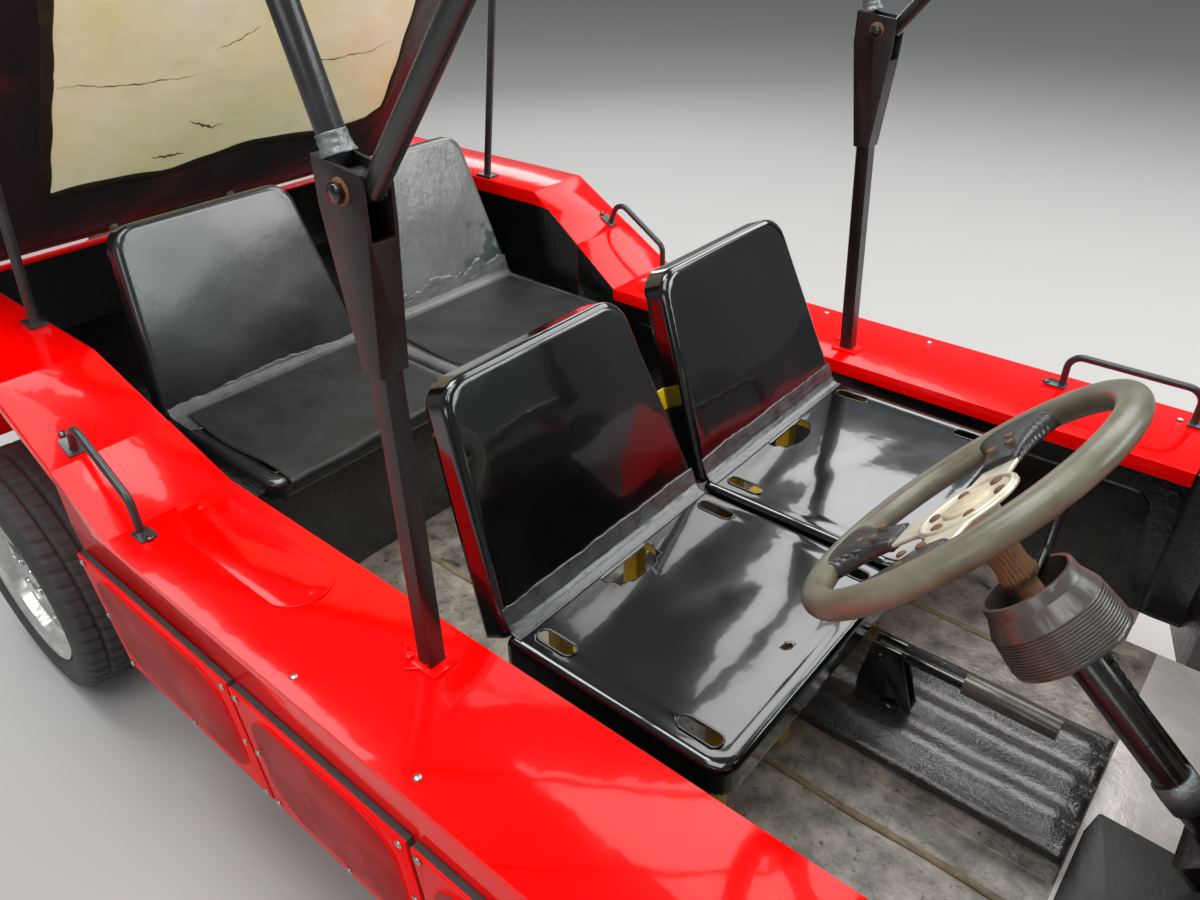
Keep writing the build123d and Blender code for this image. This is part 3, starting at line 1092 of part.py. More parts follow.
def grab_handles():
    """Bent bars to hold on to, beside each seat."""
    x0, x1, y, rise = FRONT_HANDLE
    top = PONTOON_TOP
    low = top + HANDLE_FOOT[2]
    front = handle([(x0, y, low - 1), (x0, y, top + rise), (x1, y, top + rise), (x1, y, low - 1)],
                   [(x0 + 8, y, top, 0, -1), (x1 - 8, y, top, 0, 1)])
    a, b, y, rise = REAR_HANDLE
    za = PONTOON_TOP + RAMP_RISE * (RAMP_FOOT - a)
    slope = math.degrees(math.atan(RAMP_RISE))
    rear = handle([(a, y, za + 2), (a + 22, y, za + rise + 2), (b - 2, y, top + rise), (b, y, low - 1)],
                  [(a + 8, y, za - 8 * RAMP_RISE, slope, -1), (b - 8, y, top, 0, 1)])
    rear -= block(a - 60, b + 60, y - 30, y + 30, top - 60, top + FIT_GAP)
    ramp = side_plate([(RAMP_FOOT, PONTOON_TOP + FIT_GAP), (RAMP_HEAD, ARCH_TOP + FIT_GAP), (RAMP_HEAD, 0),
                       (RAMP_FOOT, 0)], y - 40, y + 40)
    rear -= ramp
    return group([front, mirrored(front), rear, mirrored(rear)])


WHEELS = {"front_left": (FRONT_AXLE, FRONT_TRACK / 2, 1), "front_right": (FRONT_AXLE, -FRONT_TRACK / 2, -1),
          "rear_left": (REAR_AXLE, REAR_TRACK / 2, 1), "rear_right": (REAR_AXLE, -REAR_TRACK / 2, -1)}
for corner, (x, y, side) in WHEELS.items():
    write(f"tyre_{corner}", tyre(x, y))
    write(f"rim_{corner}", rim(x, y, side))

SEATS = {"seat_front_left": (*FRONT_SEAT, SEAT_Y), "seat_front_right": (*FRONT_SEAT, -SEAT_Y),
         "seat_rear_left": (*REAR_SEAT, SEAT_Y), "seat_rear_right": (*REAR_SEAT, -SEAT_Y)}
for name, values in SEATS.items():
    write(name, seat(*values))

spare_tyre, spare_rim = spare()
PIECES = {
    "pontoons": both(pontoon()), "pontoon_covers": both(pontoon_cover()), "rear_arches": both(rear_arch()),
    "front_wings": both(front_wing()), "floor_pan": floor_pan(), "rear_deck": rear_deck(),
    "luggage_floor": luggage_floor(), "tail_panel": tail_panel(), "bulkhead": bulkhead(),
    "front_panel": front_panel(), "bonnet": bonnet(), "engine_block": engine_block(),
    "knuckle_left": knuckle(1), "knuckle_right": knuckle(-1), "front_suspension": front_suspension(),
    "rear_suspension": rear_suspension(), "exhaust": exhaust(), "spare_tyre": spare_tyre,
    "spare_rim": spare_rim, "steering_wheel": steering_wheel(), "steering_boss": steering_boss(),
    "steering_column": steering_column(), "pedals": pedals(), "gear_lever": gear_lever(),
    "handbrake": handbrake(), "seat_frames": seat_frames(), "rear_seat_mats": rear_seat_mats(),
    "main_hoop": main_hoop(), "front_hoop": front_hoop(), "rear_bow": rear_bow(),
    "hood_curtain": hood_curtain(), "windscreen_frame": windscreen_frame(),
    "windscreen_glass": windscreen_glass(), "mirrors": mirrors(), "speedometer": speedometer(),
    "headlamps": headlamps(), "indicators": indicators(), "tail_lamps": tail_lamps(),
    "front_bumper": front_bumper(), "rear_bumpers": rear_bumpers(), "side_panels": side_panels(),
    "grab_handles": grab_handles(),
}
for name, shape in PIECES.items():
    write(name, shape)
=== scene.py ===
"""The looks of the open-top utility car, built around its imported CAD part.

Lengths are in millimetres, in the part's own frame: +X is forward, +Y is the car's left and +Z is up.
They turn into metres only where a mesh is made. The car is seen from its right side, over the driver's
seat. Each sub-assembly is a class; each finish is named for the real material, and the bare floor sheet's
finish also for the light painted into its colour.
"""

import json
import logging
import math
from collections.abc import Callable, Sequence
from dataclasses import dataclass
from enum import Enum

import bmesh
import bpy
import numpy as np
from mathutils import Matrix, Vector

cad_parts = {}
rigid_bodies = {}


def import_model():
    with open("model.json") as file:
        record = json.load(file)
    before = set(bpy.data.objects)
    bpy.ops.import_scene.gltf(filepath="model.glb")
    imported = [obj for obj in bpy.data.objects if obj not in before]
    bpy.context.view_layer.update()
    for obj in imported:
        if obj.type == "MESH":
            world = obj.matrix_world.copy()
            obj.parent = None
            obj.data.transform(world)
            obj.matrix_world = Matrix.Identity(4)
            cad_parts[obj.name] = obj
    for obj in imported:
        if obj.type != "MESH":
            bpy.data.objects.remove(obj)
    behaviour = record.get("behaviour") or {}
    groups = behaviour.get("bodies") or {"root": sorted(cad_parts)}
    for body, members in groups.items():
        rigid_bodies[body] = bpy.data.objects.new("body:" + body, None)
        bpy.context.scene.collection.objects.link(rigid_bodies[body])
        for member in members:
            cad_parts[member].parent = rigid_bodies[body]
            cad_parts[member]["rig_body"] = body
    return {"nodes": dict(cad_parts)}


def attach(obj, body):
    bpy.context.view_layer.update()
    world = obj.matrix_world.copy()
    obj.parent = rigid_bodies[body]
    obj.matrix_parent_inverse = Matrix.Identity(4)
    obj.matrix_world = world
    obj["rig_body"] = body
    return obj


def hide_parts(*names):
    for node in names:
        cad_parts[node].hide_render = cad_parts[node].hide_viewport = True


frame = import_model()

log = logging.getLogger("utility_car")
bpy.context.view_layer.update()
MM = 0.001
Array = np.ndarray
Choice = Callable[[Array, Array], Array]
Pairs = tuple[tuple[float, float], ...]
Triples = tuple[tuple[float, float, float], ...]
# The car's two sides, by the sign of Y and by name
SIDES = ((-1, "right"), (1, "left"))
UP = (0.0, 0.0, 1.0)
# How near, in metres, two corners of a CAD piece's loose triangles lie to be one
MERGE_GAP = 5e-6
# How far from level two triangles may lie and still be one flat face
FLAT_ANGLE = math.radians(1.0)
# The noise values between which a finish goes from its colour to its shade
SHADE_LEVELS = (0.35, 0.65)
# How far the clouds' noise strays to either side of its middle
CLOUD_SPREAD = 0.26
# How far red, green and blue light travel in cloudy vinyl, as shares of a depth in metres
SCATTER_TINT = (0.9, 0.8, 0.6)
SCATTER_DEPTH = 0.004


# Colours and nodes


def linear(code: str) -> tuple[float, float, float, float]:
    """Turn an sRGB hex colour into the linear colour that a shader takes.

    Args:
        code: The colour as #rrggbb.

    Returns:
        Red, green, blue and a full alpha.
    """
    parts = [int(code[i : i + 2], 16) / 255 for i in (1, 3, 5)]
    made = [c / 12.92 if c <= 0.04045 else ((c + 0.055) / 1.055) ** 2.4 for c in parts]
    return (made[0], made[1], made[2], 1.0)


def add_node(
    tree: bpy.types.NodeTree,
    kind: str,
    inputs: dict[str | int, object] | None = None,
    **settings: object,
) -> bpy.types.Node:
    """Add one shader node with its settings, values and links.

    Args:
        tree: The material's node tree.
        kind: The node's type name.
        inputs: What goes in each input: another node's output socket, or a value.
        settings: The node's own properties.

    Returns:
        The new node.
    """
    made = tree.nodes.new(kind)
    for key, value in settings.items():
        setattr(made, key, value)
    for key, value in (inputs or {}).items():
        if isinstance(value, bpy.types.NodeSocket):
            tree.links.new(value, made.inputs[key])
        else:
            made.inputs[key].default_value = value
    return made


class Pattern(Enum):
    """The patterns that a finish may be marked or embossed with."""

    CLOUDS = "ShaderNodeTexNoise"
    CELLS = "ShaderNodeTexVoronoi"
    RIBS = "ShaderNodeTexWave"

    def field(self, tree: bpy.types.NodeTree, place: bpy.types.NodeSocket, size: float, detail: float
              ) -> bpy.types.NodeSocket:
        """Build the pattern's field, 0 to 1.

        Args:
            tree: The material's node tree.
            place: The coordinates that it follows.
            size: How far apart its marks lie, in millimetres.
            detail: How many finer octaves it has.

        Returns:
            The field's socket. Ribs are a sine along X whose period is the size.
        """
        if self is Pattern.RIBS:
            scale = 0.1 * math.pi / (size * MM)
            return add_node(tree, self.value, {"Vector": place, "Scale": scale, "Detail": 0.0}).outputs["Fac"]
        inputs = {"Vector": place, "Scale": 1.0 / (size * MM)}
        if self is Pattern.CELLS:
            return add_node(tree, self.value, inputs).outputs["Distance"]
        return add_node(tree, self.value, inputs | {"Detail": detail, "Roughness": 0.6}).outputs["Fac"]


def moved(
    tree: bpy.types.NodeTree, place: bpy.types.NodeSocket, stretch: Sequence[float], turn: Sequence[float]
) -> bpy.types.NodeSocket:
    """Turn coordinates by degrees about each axis, and stretch the pattern that reads them."""
    angles = tuple(math.radians(a) for a in turn)
    scale = tuple(1.0 / s for s in stretch)
    return add_node(
        tree, "ShaderNodeMapping", {"Vector": place, "Rotation": angles, "Scale": scale}
    ).outputs["Vector"]


@dataclass(frozen=True)
class Marks:
    """Patches of another colour over a finish, such as rust, dust or scuffs.

    size is how far apart the patches lie, share is how much of the surface they take, and stretch
    makes them longer along each axis after the turn.
    """

    colour: str
    size: float
    share: float
    edge: float = 0.08
    roughness: float = 0.7
    stretch: tuple[float, float, float] = (1.0, 1.0, 1.0)
    turn: tuple[float, float, float] = (0.0, 0.0, 0.0)
    pattern: Pattern = Pattern.CLOUDS

    def mask(self, tree: bpy.types.NodeTree, place: bpy.types.NodeSocket) -> bpy.types.NodeSocket:
        """Build the patches' mask, 1 inside a patch: the pattern, cut at the share's level.

        Args:
            tree: The material's node tree.
            place: The object coordinates.

        Returns:
            The mask's socket.
        """
        field = self.pattern.field(tree, moved(tree, place, self.stretch, self.turn), self.size, 6.0)
        if self.pattern is Pattern.CELLS:
            low, high = self.share + self.edge, self.share
        else:
            low = 0.5 + CLOUD_SPREAD * (0.5 - self.share) * 2
            high = low + self.edge
        return add_node(
            tree, "ShaderNodeMapRange", {"Value": field, "From Min": low, "From Max": high}
        ).outputs["Result"]


@dataclass(frozen=True)
class Relief:
    """Bumps of one size and height, in millimetres."""

    size: float
    height: float
    detail: float = 2.0
    stretch: tuple[float, float, float] = (1.0, 1.0, 1.0)
    turn: tuple[float, float, float] = (0.0, 0.0, 0.0)
    pattern: Pattern = Pattern.CLOUDS


@dataclass(frozen=True)
class Finish:
    """A real surface: its colour, its shine, the marks on it and the relief in it."""

    name: str
    colour: str
    shade: str
    shade_size: float = 120.0
    roughness: tuple[float, float] = (0.3, 0.5)
    metallic: float = 0.0
    specular: float = 0.5
    coat: float = 0.0
    coat_roughness: float = 0.05
    sheen: float = 0.0
    ior: float = 1.5
    transmission: float = 0.0
    scatter: float = 0.0
    marks: tuple[Marks, ...] = ()
    relief: tuple[Relief, ...] = ()

    def build(self) -> bpy.types.Material:
        """Build the material, once for each finish.

        Returns:
            The material. Colour is the base mixed with its shade by broad noise, then with each of the
            marks by its mask. Roughness runs between its two limits by the same noise. Each relief is
            a pattern that bumps the normal by its height.
        """
        known = bpy.data.materials.get(self.name)
        if known:
            return known
        made = bpy.data.materials.new(self.name)
        made.use_nodes = True
        tree = made.node_tree
        tree.nodes.clear()
        place = add_node(tree, "ShaderNodeTexCoord").outputs["Object"]
        broad = Pattern.CLOUDS.field(tree, place, self.shade_size, 5.0)
        start, end = SHADE_LEVELS
        levels = {"Value": broad, "From Min": start, "From Max": end}
        share = add_node(tree, "ShaderNodeMapRange", levels).outputs["Result"]
        colour = self._mix_colour(tree, share, linear(self.colour), self.shade)
        low, high = self.roughness
        rough = add_node(
            tree, "ShaderNodeMapRange", {"Value": share, "To Min": low, "To Max": high}
        ).outputs["Result"]
        for mark in self.marks:
            mask = mark.mask(tree, place)
            colour = self._mix_colour(tree, mask, colour, mark.colour)
            rough = add_node(
                tree, "ShaderNodeMapRange", {"Value": mask, "To Min": rough, "To Max": mark.roughness}
            ).outputs["Result"]
        normal = None
        for part in self.relief:
            at = moved(tree, place, part.stretch, part.turn)
            inputs = {"Height": part.pattern.field(tree, at, part.size, part.detail), "Strength": 1.0,
                      "Distance": part.height * MM}
            if normal is not None:
                inputs["Normal"] = normal
            normal = add_node(tree, "ShaderNodeBump", inputs).outputs["Normal"]
        inputs = {
            "Base Color": colour,
            "Roughness": rough,
            "Metallic": self.metallic,
            "Specular IOR Level": self.specular,
            "Coat Weight": self.coat,
            "Coat Roughness": self.coat_roughness,
            "Sheen Weight": self.sheen,
            "Transmission Weight": self.transmission,
            "Subsurface Weight": self.scatter,
            "Subsurface Radius": SCATTER_TINT,
            "Subsurface Scale": SCATTER_DEPTH,
        }
        if self.metallic < 0.5:
            inputs["IOR"] = self.ior
        if normal is not None:
            inputs["Normal"] = normal
            inputs["Coat Normal"] = normal
        shader = add_node(tree, "ShaderNodeBsdfPrincipled", inputs)
        add_node(tree, "ShaderNodeOutputMaterial", {"Surface": shader.outputs["BSDF"]})
        return made

    def _mix_colour(
        self,
        tree: bpy.types.NodeTree,
        mask: bpy.types.NodeSocket,
        under: bpy.types.NodeSocket | tuple[float, float, float, float],
        over: str,
    ) -> bpy.types.NodeSocket:
        """Lay a colour over another where the mask is 1.

        Args:
            tree: The material's node tree.
            mask: Where the upper colour shows.
            under: The colour below.
            over: The colour on top.

        Returns:
            The mixed colour's socket.
        """
        mix = add_node(tree, "ShaderNodeMix", {0: mask, 6: under, 7: linear(over)}, data_type="RGBA")
        return mix.outputs[2]


# Finishes, each for a real material

# Dry dust, and rust that comes through paint, as several finishes have them
DUST = Marks("#6b5f52", 26.0, 0.16, 0.12, 0.75)
RUST = Marks("#7a3d1c", 18.0, 0.10, 0.06, 0.85)

# Brushed-on red enamel over dented steel: deep colour under a wet shine whose reflections ripple
RED_ENAMEL = Finish(
    "red_enamel", "#ff0200", "#f60100", 220.0, (0.12, 0.2), specular=0.12, coat=0.26, coat_roughness=0.03,
    marks=(Marks("#d8a898", 5.0, 0.012, 0.05, 0.6),),
    relief=(Relief(150.0, 1.5), Relief(34.0, 0.2), Relief(3.0, 0.012)),
)
# The side plates' rims: the same red, polished less
RED_RIM = Finish(
    "red_rim", "#ff0200", "#f60100", 220.0, (0.3, 0.4), specular=0.06,
    relief=(Relief(60.0, 0.6), Relief(3.0, 0.02)),
)
# The same red, thin and dull inside the side plates' fields
RED_SATIN = Finish(
    "side_field_paint", "#bd0f10", "#a20b0c", 90.0, (0.34, 0.46), specular=0.05,
    marks=(Marks("#8c504a", 26.0, 0.08, 0.2, 0.6),), relief=(Relief(60.0, 0.8), Relief(2.5, 0.04)),
)
# Black bitumen enamel on pressed steel sheet: almost a mirror, with dust in it
SEAT_ENAMEL = Finish(
    "black_seat_enamel", "#050606", "#090a0b", 160.0, (0.10, 0.18), coat=0.9, coat_roughness=0.03,
    marks=(Marks("#3c3d3f", 70.0, 0.04, 0.3, 0.4),),
    relief=(Relief(120.0, 0.45), Relief(30.0, 0.07), Relief(2.0, 0.006)),
)
# Old black enamel gone grey where people sat
REAR_SEAT_ENAMEL = Finish(
    "worn_seat_enamel", "#17191a", "#25282a", 160.0, (0.22, 0.32), coat=0.9, coat_roughness=0.14,
    marks=(
        Marks("#4c504f", 110.0, 0.05, 0.34, 0.4),
        Marks("#050505", 90.0, 0.02, 0.01, 0.5, (0.2, 0.2, 5.0)),
    ),
    relief=(Relief(150.0, 0.8), Relief(24.0, 0.12)),
)
# The same seat's far twin, faded pale, with a green-grey patch where the paint came off in one sheet
FADED_SEAT_ENAMEL = Finish(
    "faded_seat_enamel", "#57595a", "#6c6f6e", 120.0, (0.24, 0.34), coat=0.7, coat_roughness=0.16,
    marks=(
        Marks("#33403a", 230.0, 0.3, 0.012, 0.3),
        Marks("#1a1b1b", 90.0, 0.02, 0.01, 0.5, (0.2, 0.2, 5.0)),
    ),
    relief=(Relief(60.0, 1.4, 4.0, (1.0, 1.0, 3.0)), Relief(14.0, 0.25)),
)
# Cloth tape painted over: shiny grey-black with fine creases along the seam
SEAM_TAPE = Finish(
    "painted_cloth_tape", "#2c2e2f", "#454849", 30.0, (0.24, 0.36), coat=0.6, coat_roughness=0.12,
    relief=(Relief(8.0, 0.5, 4.0, (1.0, 8.0, 1.0)), Relief(1.6, 0.08)),
)
# Grey film peeling off the rear seats' joints
PEELING_FILM = Finish(
    "peeling_paint_film", "#3f4242", "#575a59", 40.0, (0.3, 0.44), coat=0.4, coat_roughness=0.2,
    marks=(Marks("#161717", 34.0, 0.3, 0.06, 0.4, (1.0, 2.5, 1.0)), Marks("#46554e", 60.0, 0.12, 0.2, 0.5)),
    relief=(Relief(9.0, 1.0, 4.0, (1.0, 3.0, 1.0)), Relief(1.6, 0.1)),
)
# Black paint on the floor, trodden to grey-brown dirt and rust
FLOOR_PAINT = Finish(
    "worn_floor_paint", "#a0978a", "#5c554b", 44.0, (0.34, 0.56), coat=0.55, coat_roughness=0.22,
    marks=(
        Marks("#2e2b28", 60.0, 0.34, 0.1, 0.25, (2.2, 1.0, 1.0)),
        Marks("#9c8862", 30.0, 0.16, 0.1, 0.85, (2.0, 1.0, 1.0)),
        Marks("#332d26", 9.0, 0.32, 0.12, 0.35),
        Marks("#7d4a24", 14.0, 0.07, 0.06, 0.85),
        Marks("#c4bba8", 4.0, 0.09, 0.08, 0.8),
    ),
    relief=(Relief(46.0, 3.0, 3.0), Relief(8.0, 1.6, 4.0), Relief(2.5, 0.4)),
)
# The same paint on the hump's ribs, thick, pitted and wet-looking
RIB_PAINT = Finish(
    "rib_gloss_paint", "#2a2827", "#383432", 80.0, (0.2, 0.34), coat=0.85, coat_roughness=0.14,
    marks=(Marks("#5a4b3e", 60.0, 0.08, 0.16, 0.5, (2.0, 1.0, 1.0)), Marks("#a5543a", 5.0, 0.03, 0.05, 0.8)),
    relief=(Relief(30.0, 0.7), Relief(6.0, 1.0, 3.0), Relief(2.6, 0.5)),
)
# A folded seam whose paint is worn to light brown
SEAM_PAINT = Finish(
    "worn_seam", "#8d7c5e", "#6b5c46", 26.0, (0.5, 0.7),
    marks=(Marks("#2e2a25", 22.0, 0.26, 0.1, 0.4, (3.0, 1.0, 1.0)),), relief=(Relief(4.0, 0.4),),
)
# Bare sheet ahead of the hump, grey and dimpled; its near-white colour is partly painted light, the light that
# falls on its upward faces
BARE_SHEET_AND_PAINTED_LIGHT = Finish(
    "bare_sheet_and_painted_light", "#d0c8c3", "#ddd6d0", 50.0, (0.3, 0.45), metallic=0.2,
    marks=(Marks("#5e4a3c", 24.0, 0.14, 0.1, 0.7),), relief=(Relief(14.0, 1.2, 3.0), Relief(3.0, 0.2)),
)
# Thick black underseal brushed on the cabin walls: rough and shiny at once
CABIN_SEAL = Finish(
    "cabin_underseal", "#080808", "#0e0d0d", 60.0, (0.2, 0.34), coat=0.6, coat_roughness=0.1,
    marks=(Marks("#5c564c", 20.0, 0.05, 0.06, 0.75),), relief=(Relief(13.0, 1.4, 4.0), Relief(3.0, 0.3)),
)
# Brushed black paint on tube: dark grey satin with scuffs
HOOD_PAINT = Finish(
    "hood_tube_paint", "#1f2123", "#2b2d30", 60.0, (0.3, 0.44), coat=0.35, coat_roughness=0.2,
    marks=(Marks("#6f6a64", 14.0, 0.05, 0.06, 0.6), Marks("#8a4a26", 22.0, 0.02, 0.05, 0.85)),
    relief=(Relief(8.0, 0.25), Relief(2.0, 0.08)),
)
# Gloss black paint on small tubes and bars
BLACK_PAINT = Finish(
    "black_bar_paint", "#0c0d0e", "#161719", 50.0, (0.2, 0.32), coat=0.7, coat_roughness=0.1,
    marks=(Marks("#5b5651", 12.0, 0.04, 0.06, 0.6),), relief=(Relief(6.0, 0.2),),
)
# Brown-black brushed paint on the hood's posts, rubbed dull
POST_PAINT = Finish(
    "hood_post_paint", "#151110", "#241816", 60.0, (0.34, 0.46), coat=0.14, coat_roughness=0.2,
    marks=(Marks("#7d6a5c", 9.0, 0.03, 0.06, 0.7), Marks("#5e2a1c", 30.0, 0.08, 0.1, 0.8, (1.0, 1.0, 4.0))),
    relief=(Relief(8.0, 0.3), Relief(2.0, 0.08)),
)
# Chassis black with rust coming through
CHASSIS_PAINT = Finish(
    "chassis_paint", "#15130f", "#241f1a", 50.0, (0.35, 0.55), coat=0.3, coat_roughness=0.2,
    marks=(RUST, DUST), relief=(Relief(10.0, 0.5), Relief(2.0, 0.12)),
)
# Brown-black paint on the steering column, greasy and rubbed
COLUMN_PAINT = Finish(
    "column_paint", "#140e0c", "#271a15", 36.0, (0.26, 0.42), coat=0.5, coat_roughness=0.15,
    marks=(Marks("#6b5646", 16.0, 0.10, 0.1, 0.7), RUST), relief=(Relief(7.0, 0.3), Relief(2.0, 0.1)),
)
# Yellow enamel on the seats' frame, chipped and grimy in patches
YELLOW_PAINT = Finish(
    "yellow_frame_paint", "#f7cf10", "#eabc0a", 60.0, (0.35, 0.5), coat=0.3,
    marks=(Marks("#2a2620", 16.0, 0.08, 0.08, 0.7),), relief=(Relief(8.0, 0.3),),
)
# Tyre rubber gone grey with road dust: no shine, soft grain
TYRE_RUBBER = Finish(
    "tread_rubber", "#343333", "#403e3d", 60.0, (0.6, 0.75), ior=1.52,
    marks=(Marks("#504c46", 14.0, 0.12, 0.16, 0.85),), relief=(Relief(3.0, 0.12),),
)
# Cast aluminium, machined on the lip: bright with brake dust
WHEEL_ALLOY = Finish(
    "cast_wheel_alloy", "#d8d7d3", "#c2c1bd", 60.0, (0.24, 0.38), metallic=0.65,
    marks=(Marks("#6b665f", 20.0, 0.12, 0.2, 0.6),), relief=(Relief(1.5, 0.03),),
)
# PVC-coated cloth, black with a maroon tinge and large maroon blotches: soft folds with a low sheen
CURTAIN_VINYL = Finish(
    "curtain_vinyl", "#120a0c", "#210c11", 150.0, (0.34, 0.48), coat=0.2, coat_roughness=0.28, sheen=0.1,
    marks=(Marks("#5a0f1a", 130.0, 0.3, 0.2, 0.4),), relief=(Relief(90.0, 5.0), Relief(1.2, 0.05)),
)
# Clear vinyl gone cream and cloudy with age, with brown creases and black smudges
WINDOW_VINYL = Finish(
    "aged_window_vinyl", "#fdf6e2", "#f6eccf", 190.0, (0.36, 0.5), coat=0.15, coat_roughness=0.25,
    scatter=1.0,
    marks=(
        Marks("#e0d0a4", 150.0, 0.24, 0.3, 0.5, (1.0, 2.0, 1.0)),
        Marks("#4a3c2e", 150.0, 0.03, 0.014, 0.6, (0.22, 4.0, 0.22), (0.0, 0.0, 14.0)),
        Marks("#2c2620", 34.0, 0.0, 0.05, 0.6, (0.5, 1.6, 0.5), (0.0, 0.0, 30.0)),
    ),
    relief=(Relief(120.0, 6.0), Relief(14.0, 0.35)),
)
# Where the window was folded: the vinyl cracked and took up brown dirt
CREASE_DIRT = Finish(
    "window_crease_dirt", "#7a6244", "#94805c", 20.0, (0.5, 0.65), relief=(Relief(3.0, 0.2),)
)
# Woven tape sewn round the window: olive-black and matt
WINDOW_BINDING = Finish(
    "window_binding_tape", "#2b2a1f", "#38361f", 30.0, (0.5, 0.65), relief=(Relief(1.5, 0.2),)
)
# Foam-moulded rim skin, worn grey-brown by hands
GRIP_FOAM = Finish(
    "moulded_grip", "#64604f", "#787463", 40.0, (0.32, 0.44), coat=0.25, coat_roughness=0.3,
    marks=(Marks("#45433b", 60.0, 0.2, 0.2, 0.5), Marks("#c9c2b0", 22.0, 0.01, 0.03, 0.7)),
    relief=(Relief(5.0, 0.12, 4.0), Relief(1.2, 0.06)),
)
# Hard plastic on the spokes, ribbed across, with grime in the ribs
PAD_PLASTIC = Finish(
    "moulded_pad_plastic", "#222223", "#333332", 30.0, (0.28, 0.4), coat=0.4,
    marks=(Marks("#6a6760", 9.0, 0.08, 0.1, 0.7),),
    relief=(Relief(5.0, 0.5, 0.0, turn=(0.0, 0.0, 90.0), pattern=Pattern.RIBS),),
)
# Polished aluminium spokes gone cream and dull
PLATE_ALLOY = Finish(
    "dull_plate_alloy", "#d3ccb4", "#e2dccb", 22.0, (0.3, 0.45), metallic=0.35,
    marks=(Marks("#7a6c52", 14.0, 0.14, 0.12, 0.7),), relief=(Relief(2.5, 0.08),),
)
# The boss's brown plastic shell, faded and scuffed pale
BOSS_PLASTIC = Finish(
    "brown_boss_plastic", "#5d554d", "#463e37", 40.0, (0.28, 0.4), coat=0.5, coat_roughness=0.2,
    marks=(Marks("#8d7c66", 14.0, 0.08, 0.08, 0.8),), relief=(Relief(2.0, 0.08),),
)
# Beige plastic of the wheel's centre disc, dull with a fine grain
BEIGE_PLASTIC = Finish("beige_disc", "#d6cbb0", "#c0b290", 14.0, (0.4, 0.5), relief=(Relief(2.0, 0.08),))
# Bare steel that rusted, with brighter metal where it rubs
RUSTY_STEEL = Finish(
    "rusty_steel", "#6a4c34", "#855a38", 9.0, (0.6, 0.85), metallic=0.2,
    marks=(Marks("#a79c8c", 6.0, 0.2, 0.1, 0.5),), relief=(Relief(2.0, 0.25, 4.0),),
)
# Plated screws: small bright points on the paint
BRIGHT_STEEL = Finish(
    "plated_steel", "#c4c3bf", "#9d9b95", 6.0, (0.22, 0.4), metallic=1.0, relief=(Relief(1.5, 0.05),)
)
# Brass press studs, tarnished
STUD_METAL = Finish("brass_stud", "#b8ab92", "#8d7f68", 6.0, (0.3, 0.45), metallic=0.4)
# Crumpled foil tape: broken, soft glints
SILVER_FOIL = Finish(
    "silver_tape_foil", "#8f9192", "#6d7071", 16.0, (0.3, 0.45), metallic=0.6,
    marks=(Marks("#3a3a39", 12.0, 0.14, 0.1, 0.6),), relief=(Relief(7.0, 1.6, 5.0), Relief(2.0, 0.3)),
)
# Thin black rubber sheet that lies in folds, with dusty grey patches
MAT_RUBBER = Finish(
    "seat_mat", "#0e0f10", "#191b1c", 90.0, (0.4, 0.55), sheen=0.05, coat=0.1, coat_roughness=0.3,
    marks=(Marks("#4a4d4f", 70.0, 0.10, 0.3, 0.6),), relief=(Relief(60.0, 3.0), Relief(1.6, 0.15)),
)
# The driver's mat: dull black rubber with trodden streaks
FLOOR_MAT = Finish(
    "floor_mat_rubber", "#242423", "#30302e", 60.0, (0.4, 0.55),
    marks=(Marks("#7d786e", 40.0, 0.04, 0.05, 0.8, (3.0, 0.6, 1.0)), DUST), relief=(Relief(5.0, 0.4),),
)
# Cast iron, rough and rusty
IRON = Finish(
    "cast_engine_iron", "#2e3534", "#3d3a35", 60.0, (0.5, 0.7), metallic=0.4, marks=(RUST,),
    relief=(Relief(4.0, 0.4),),
)
# Window glass: clear with a faint green
SCREEN_GLASS = Finish(
    "clear_screen_glass", "#eef6f4", "#e6f2ef", 300.0, (0.0, 0.02), transmission=1.0, ior=1.52
)
# Pressed glass with upright flutes
LAMP_GLASS = Finish(
    "fluted_lens_glass", "#dfe6e8", "#c3ccd0", 12.0, (0.06, 0.12), coat=1.0,
    relief=(Relief(9.0, 1.0, 0.0, turn=(0.0, 0.0, 90.0), pattern=Pattern.RIBS),),
)
# Moulded lenses, red at the tail and amber at the nose, that sparkle by cells inside
LENS_CELLS = (Relief(6.0, 0.6, 0.0, pattern=Pattern.CELLS),)
RED_LENS = Finish("red_lens", "#a80c10", "#8c080c", 12.0, (0.08, 0.16), coat=1.0, relief=LENS_CELLS)
AMBER_LENS = Finish("amber_lens", "#e0730f", "#c9600a", 12.0, (0.08, 0.16), coat=1.0, relief=LENS_CELLS)
# Chrome plate: sharp reflections
CHROME = Finish("chrome_plate", "#dcdddd", "#cfd0d2", 60.0, (0.05, 0.1), metallic=1.0)
# Silvered glass: a clean reflection
MIRROR = Finish("silvered_mirror", "#e6e8e8", "#dfe2e2", 300.0, (0.02, 0.03), metallic=1.0)
# The dial's black face, with its cover's shine
DIAL = Finish("dial_face", "#101112", "#17181a", 30.0, (0.25, 0.35), coat=0.6)
# Dark packing behind the side plates, splashed with pale dirt
DARK_SEAL = Finish(
    "panel_seal_strip", "#2e2c2b", "#3c3837", 12.0, (0.6, 0.75),
    marks=(Marks("#a09a90", 3.0, 0.10, 0.1, 0.8),), relief=(Relief(2.0, 0.3),),
)


# Meshes


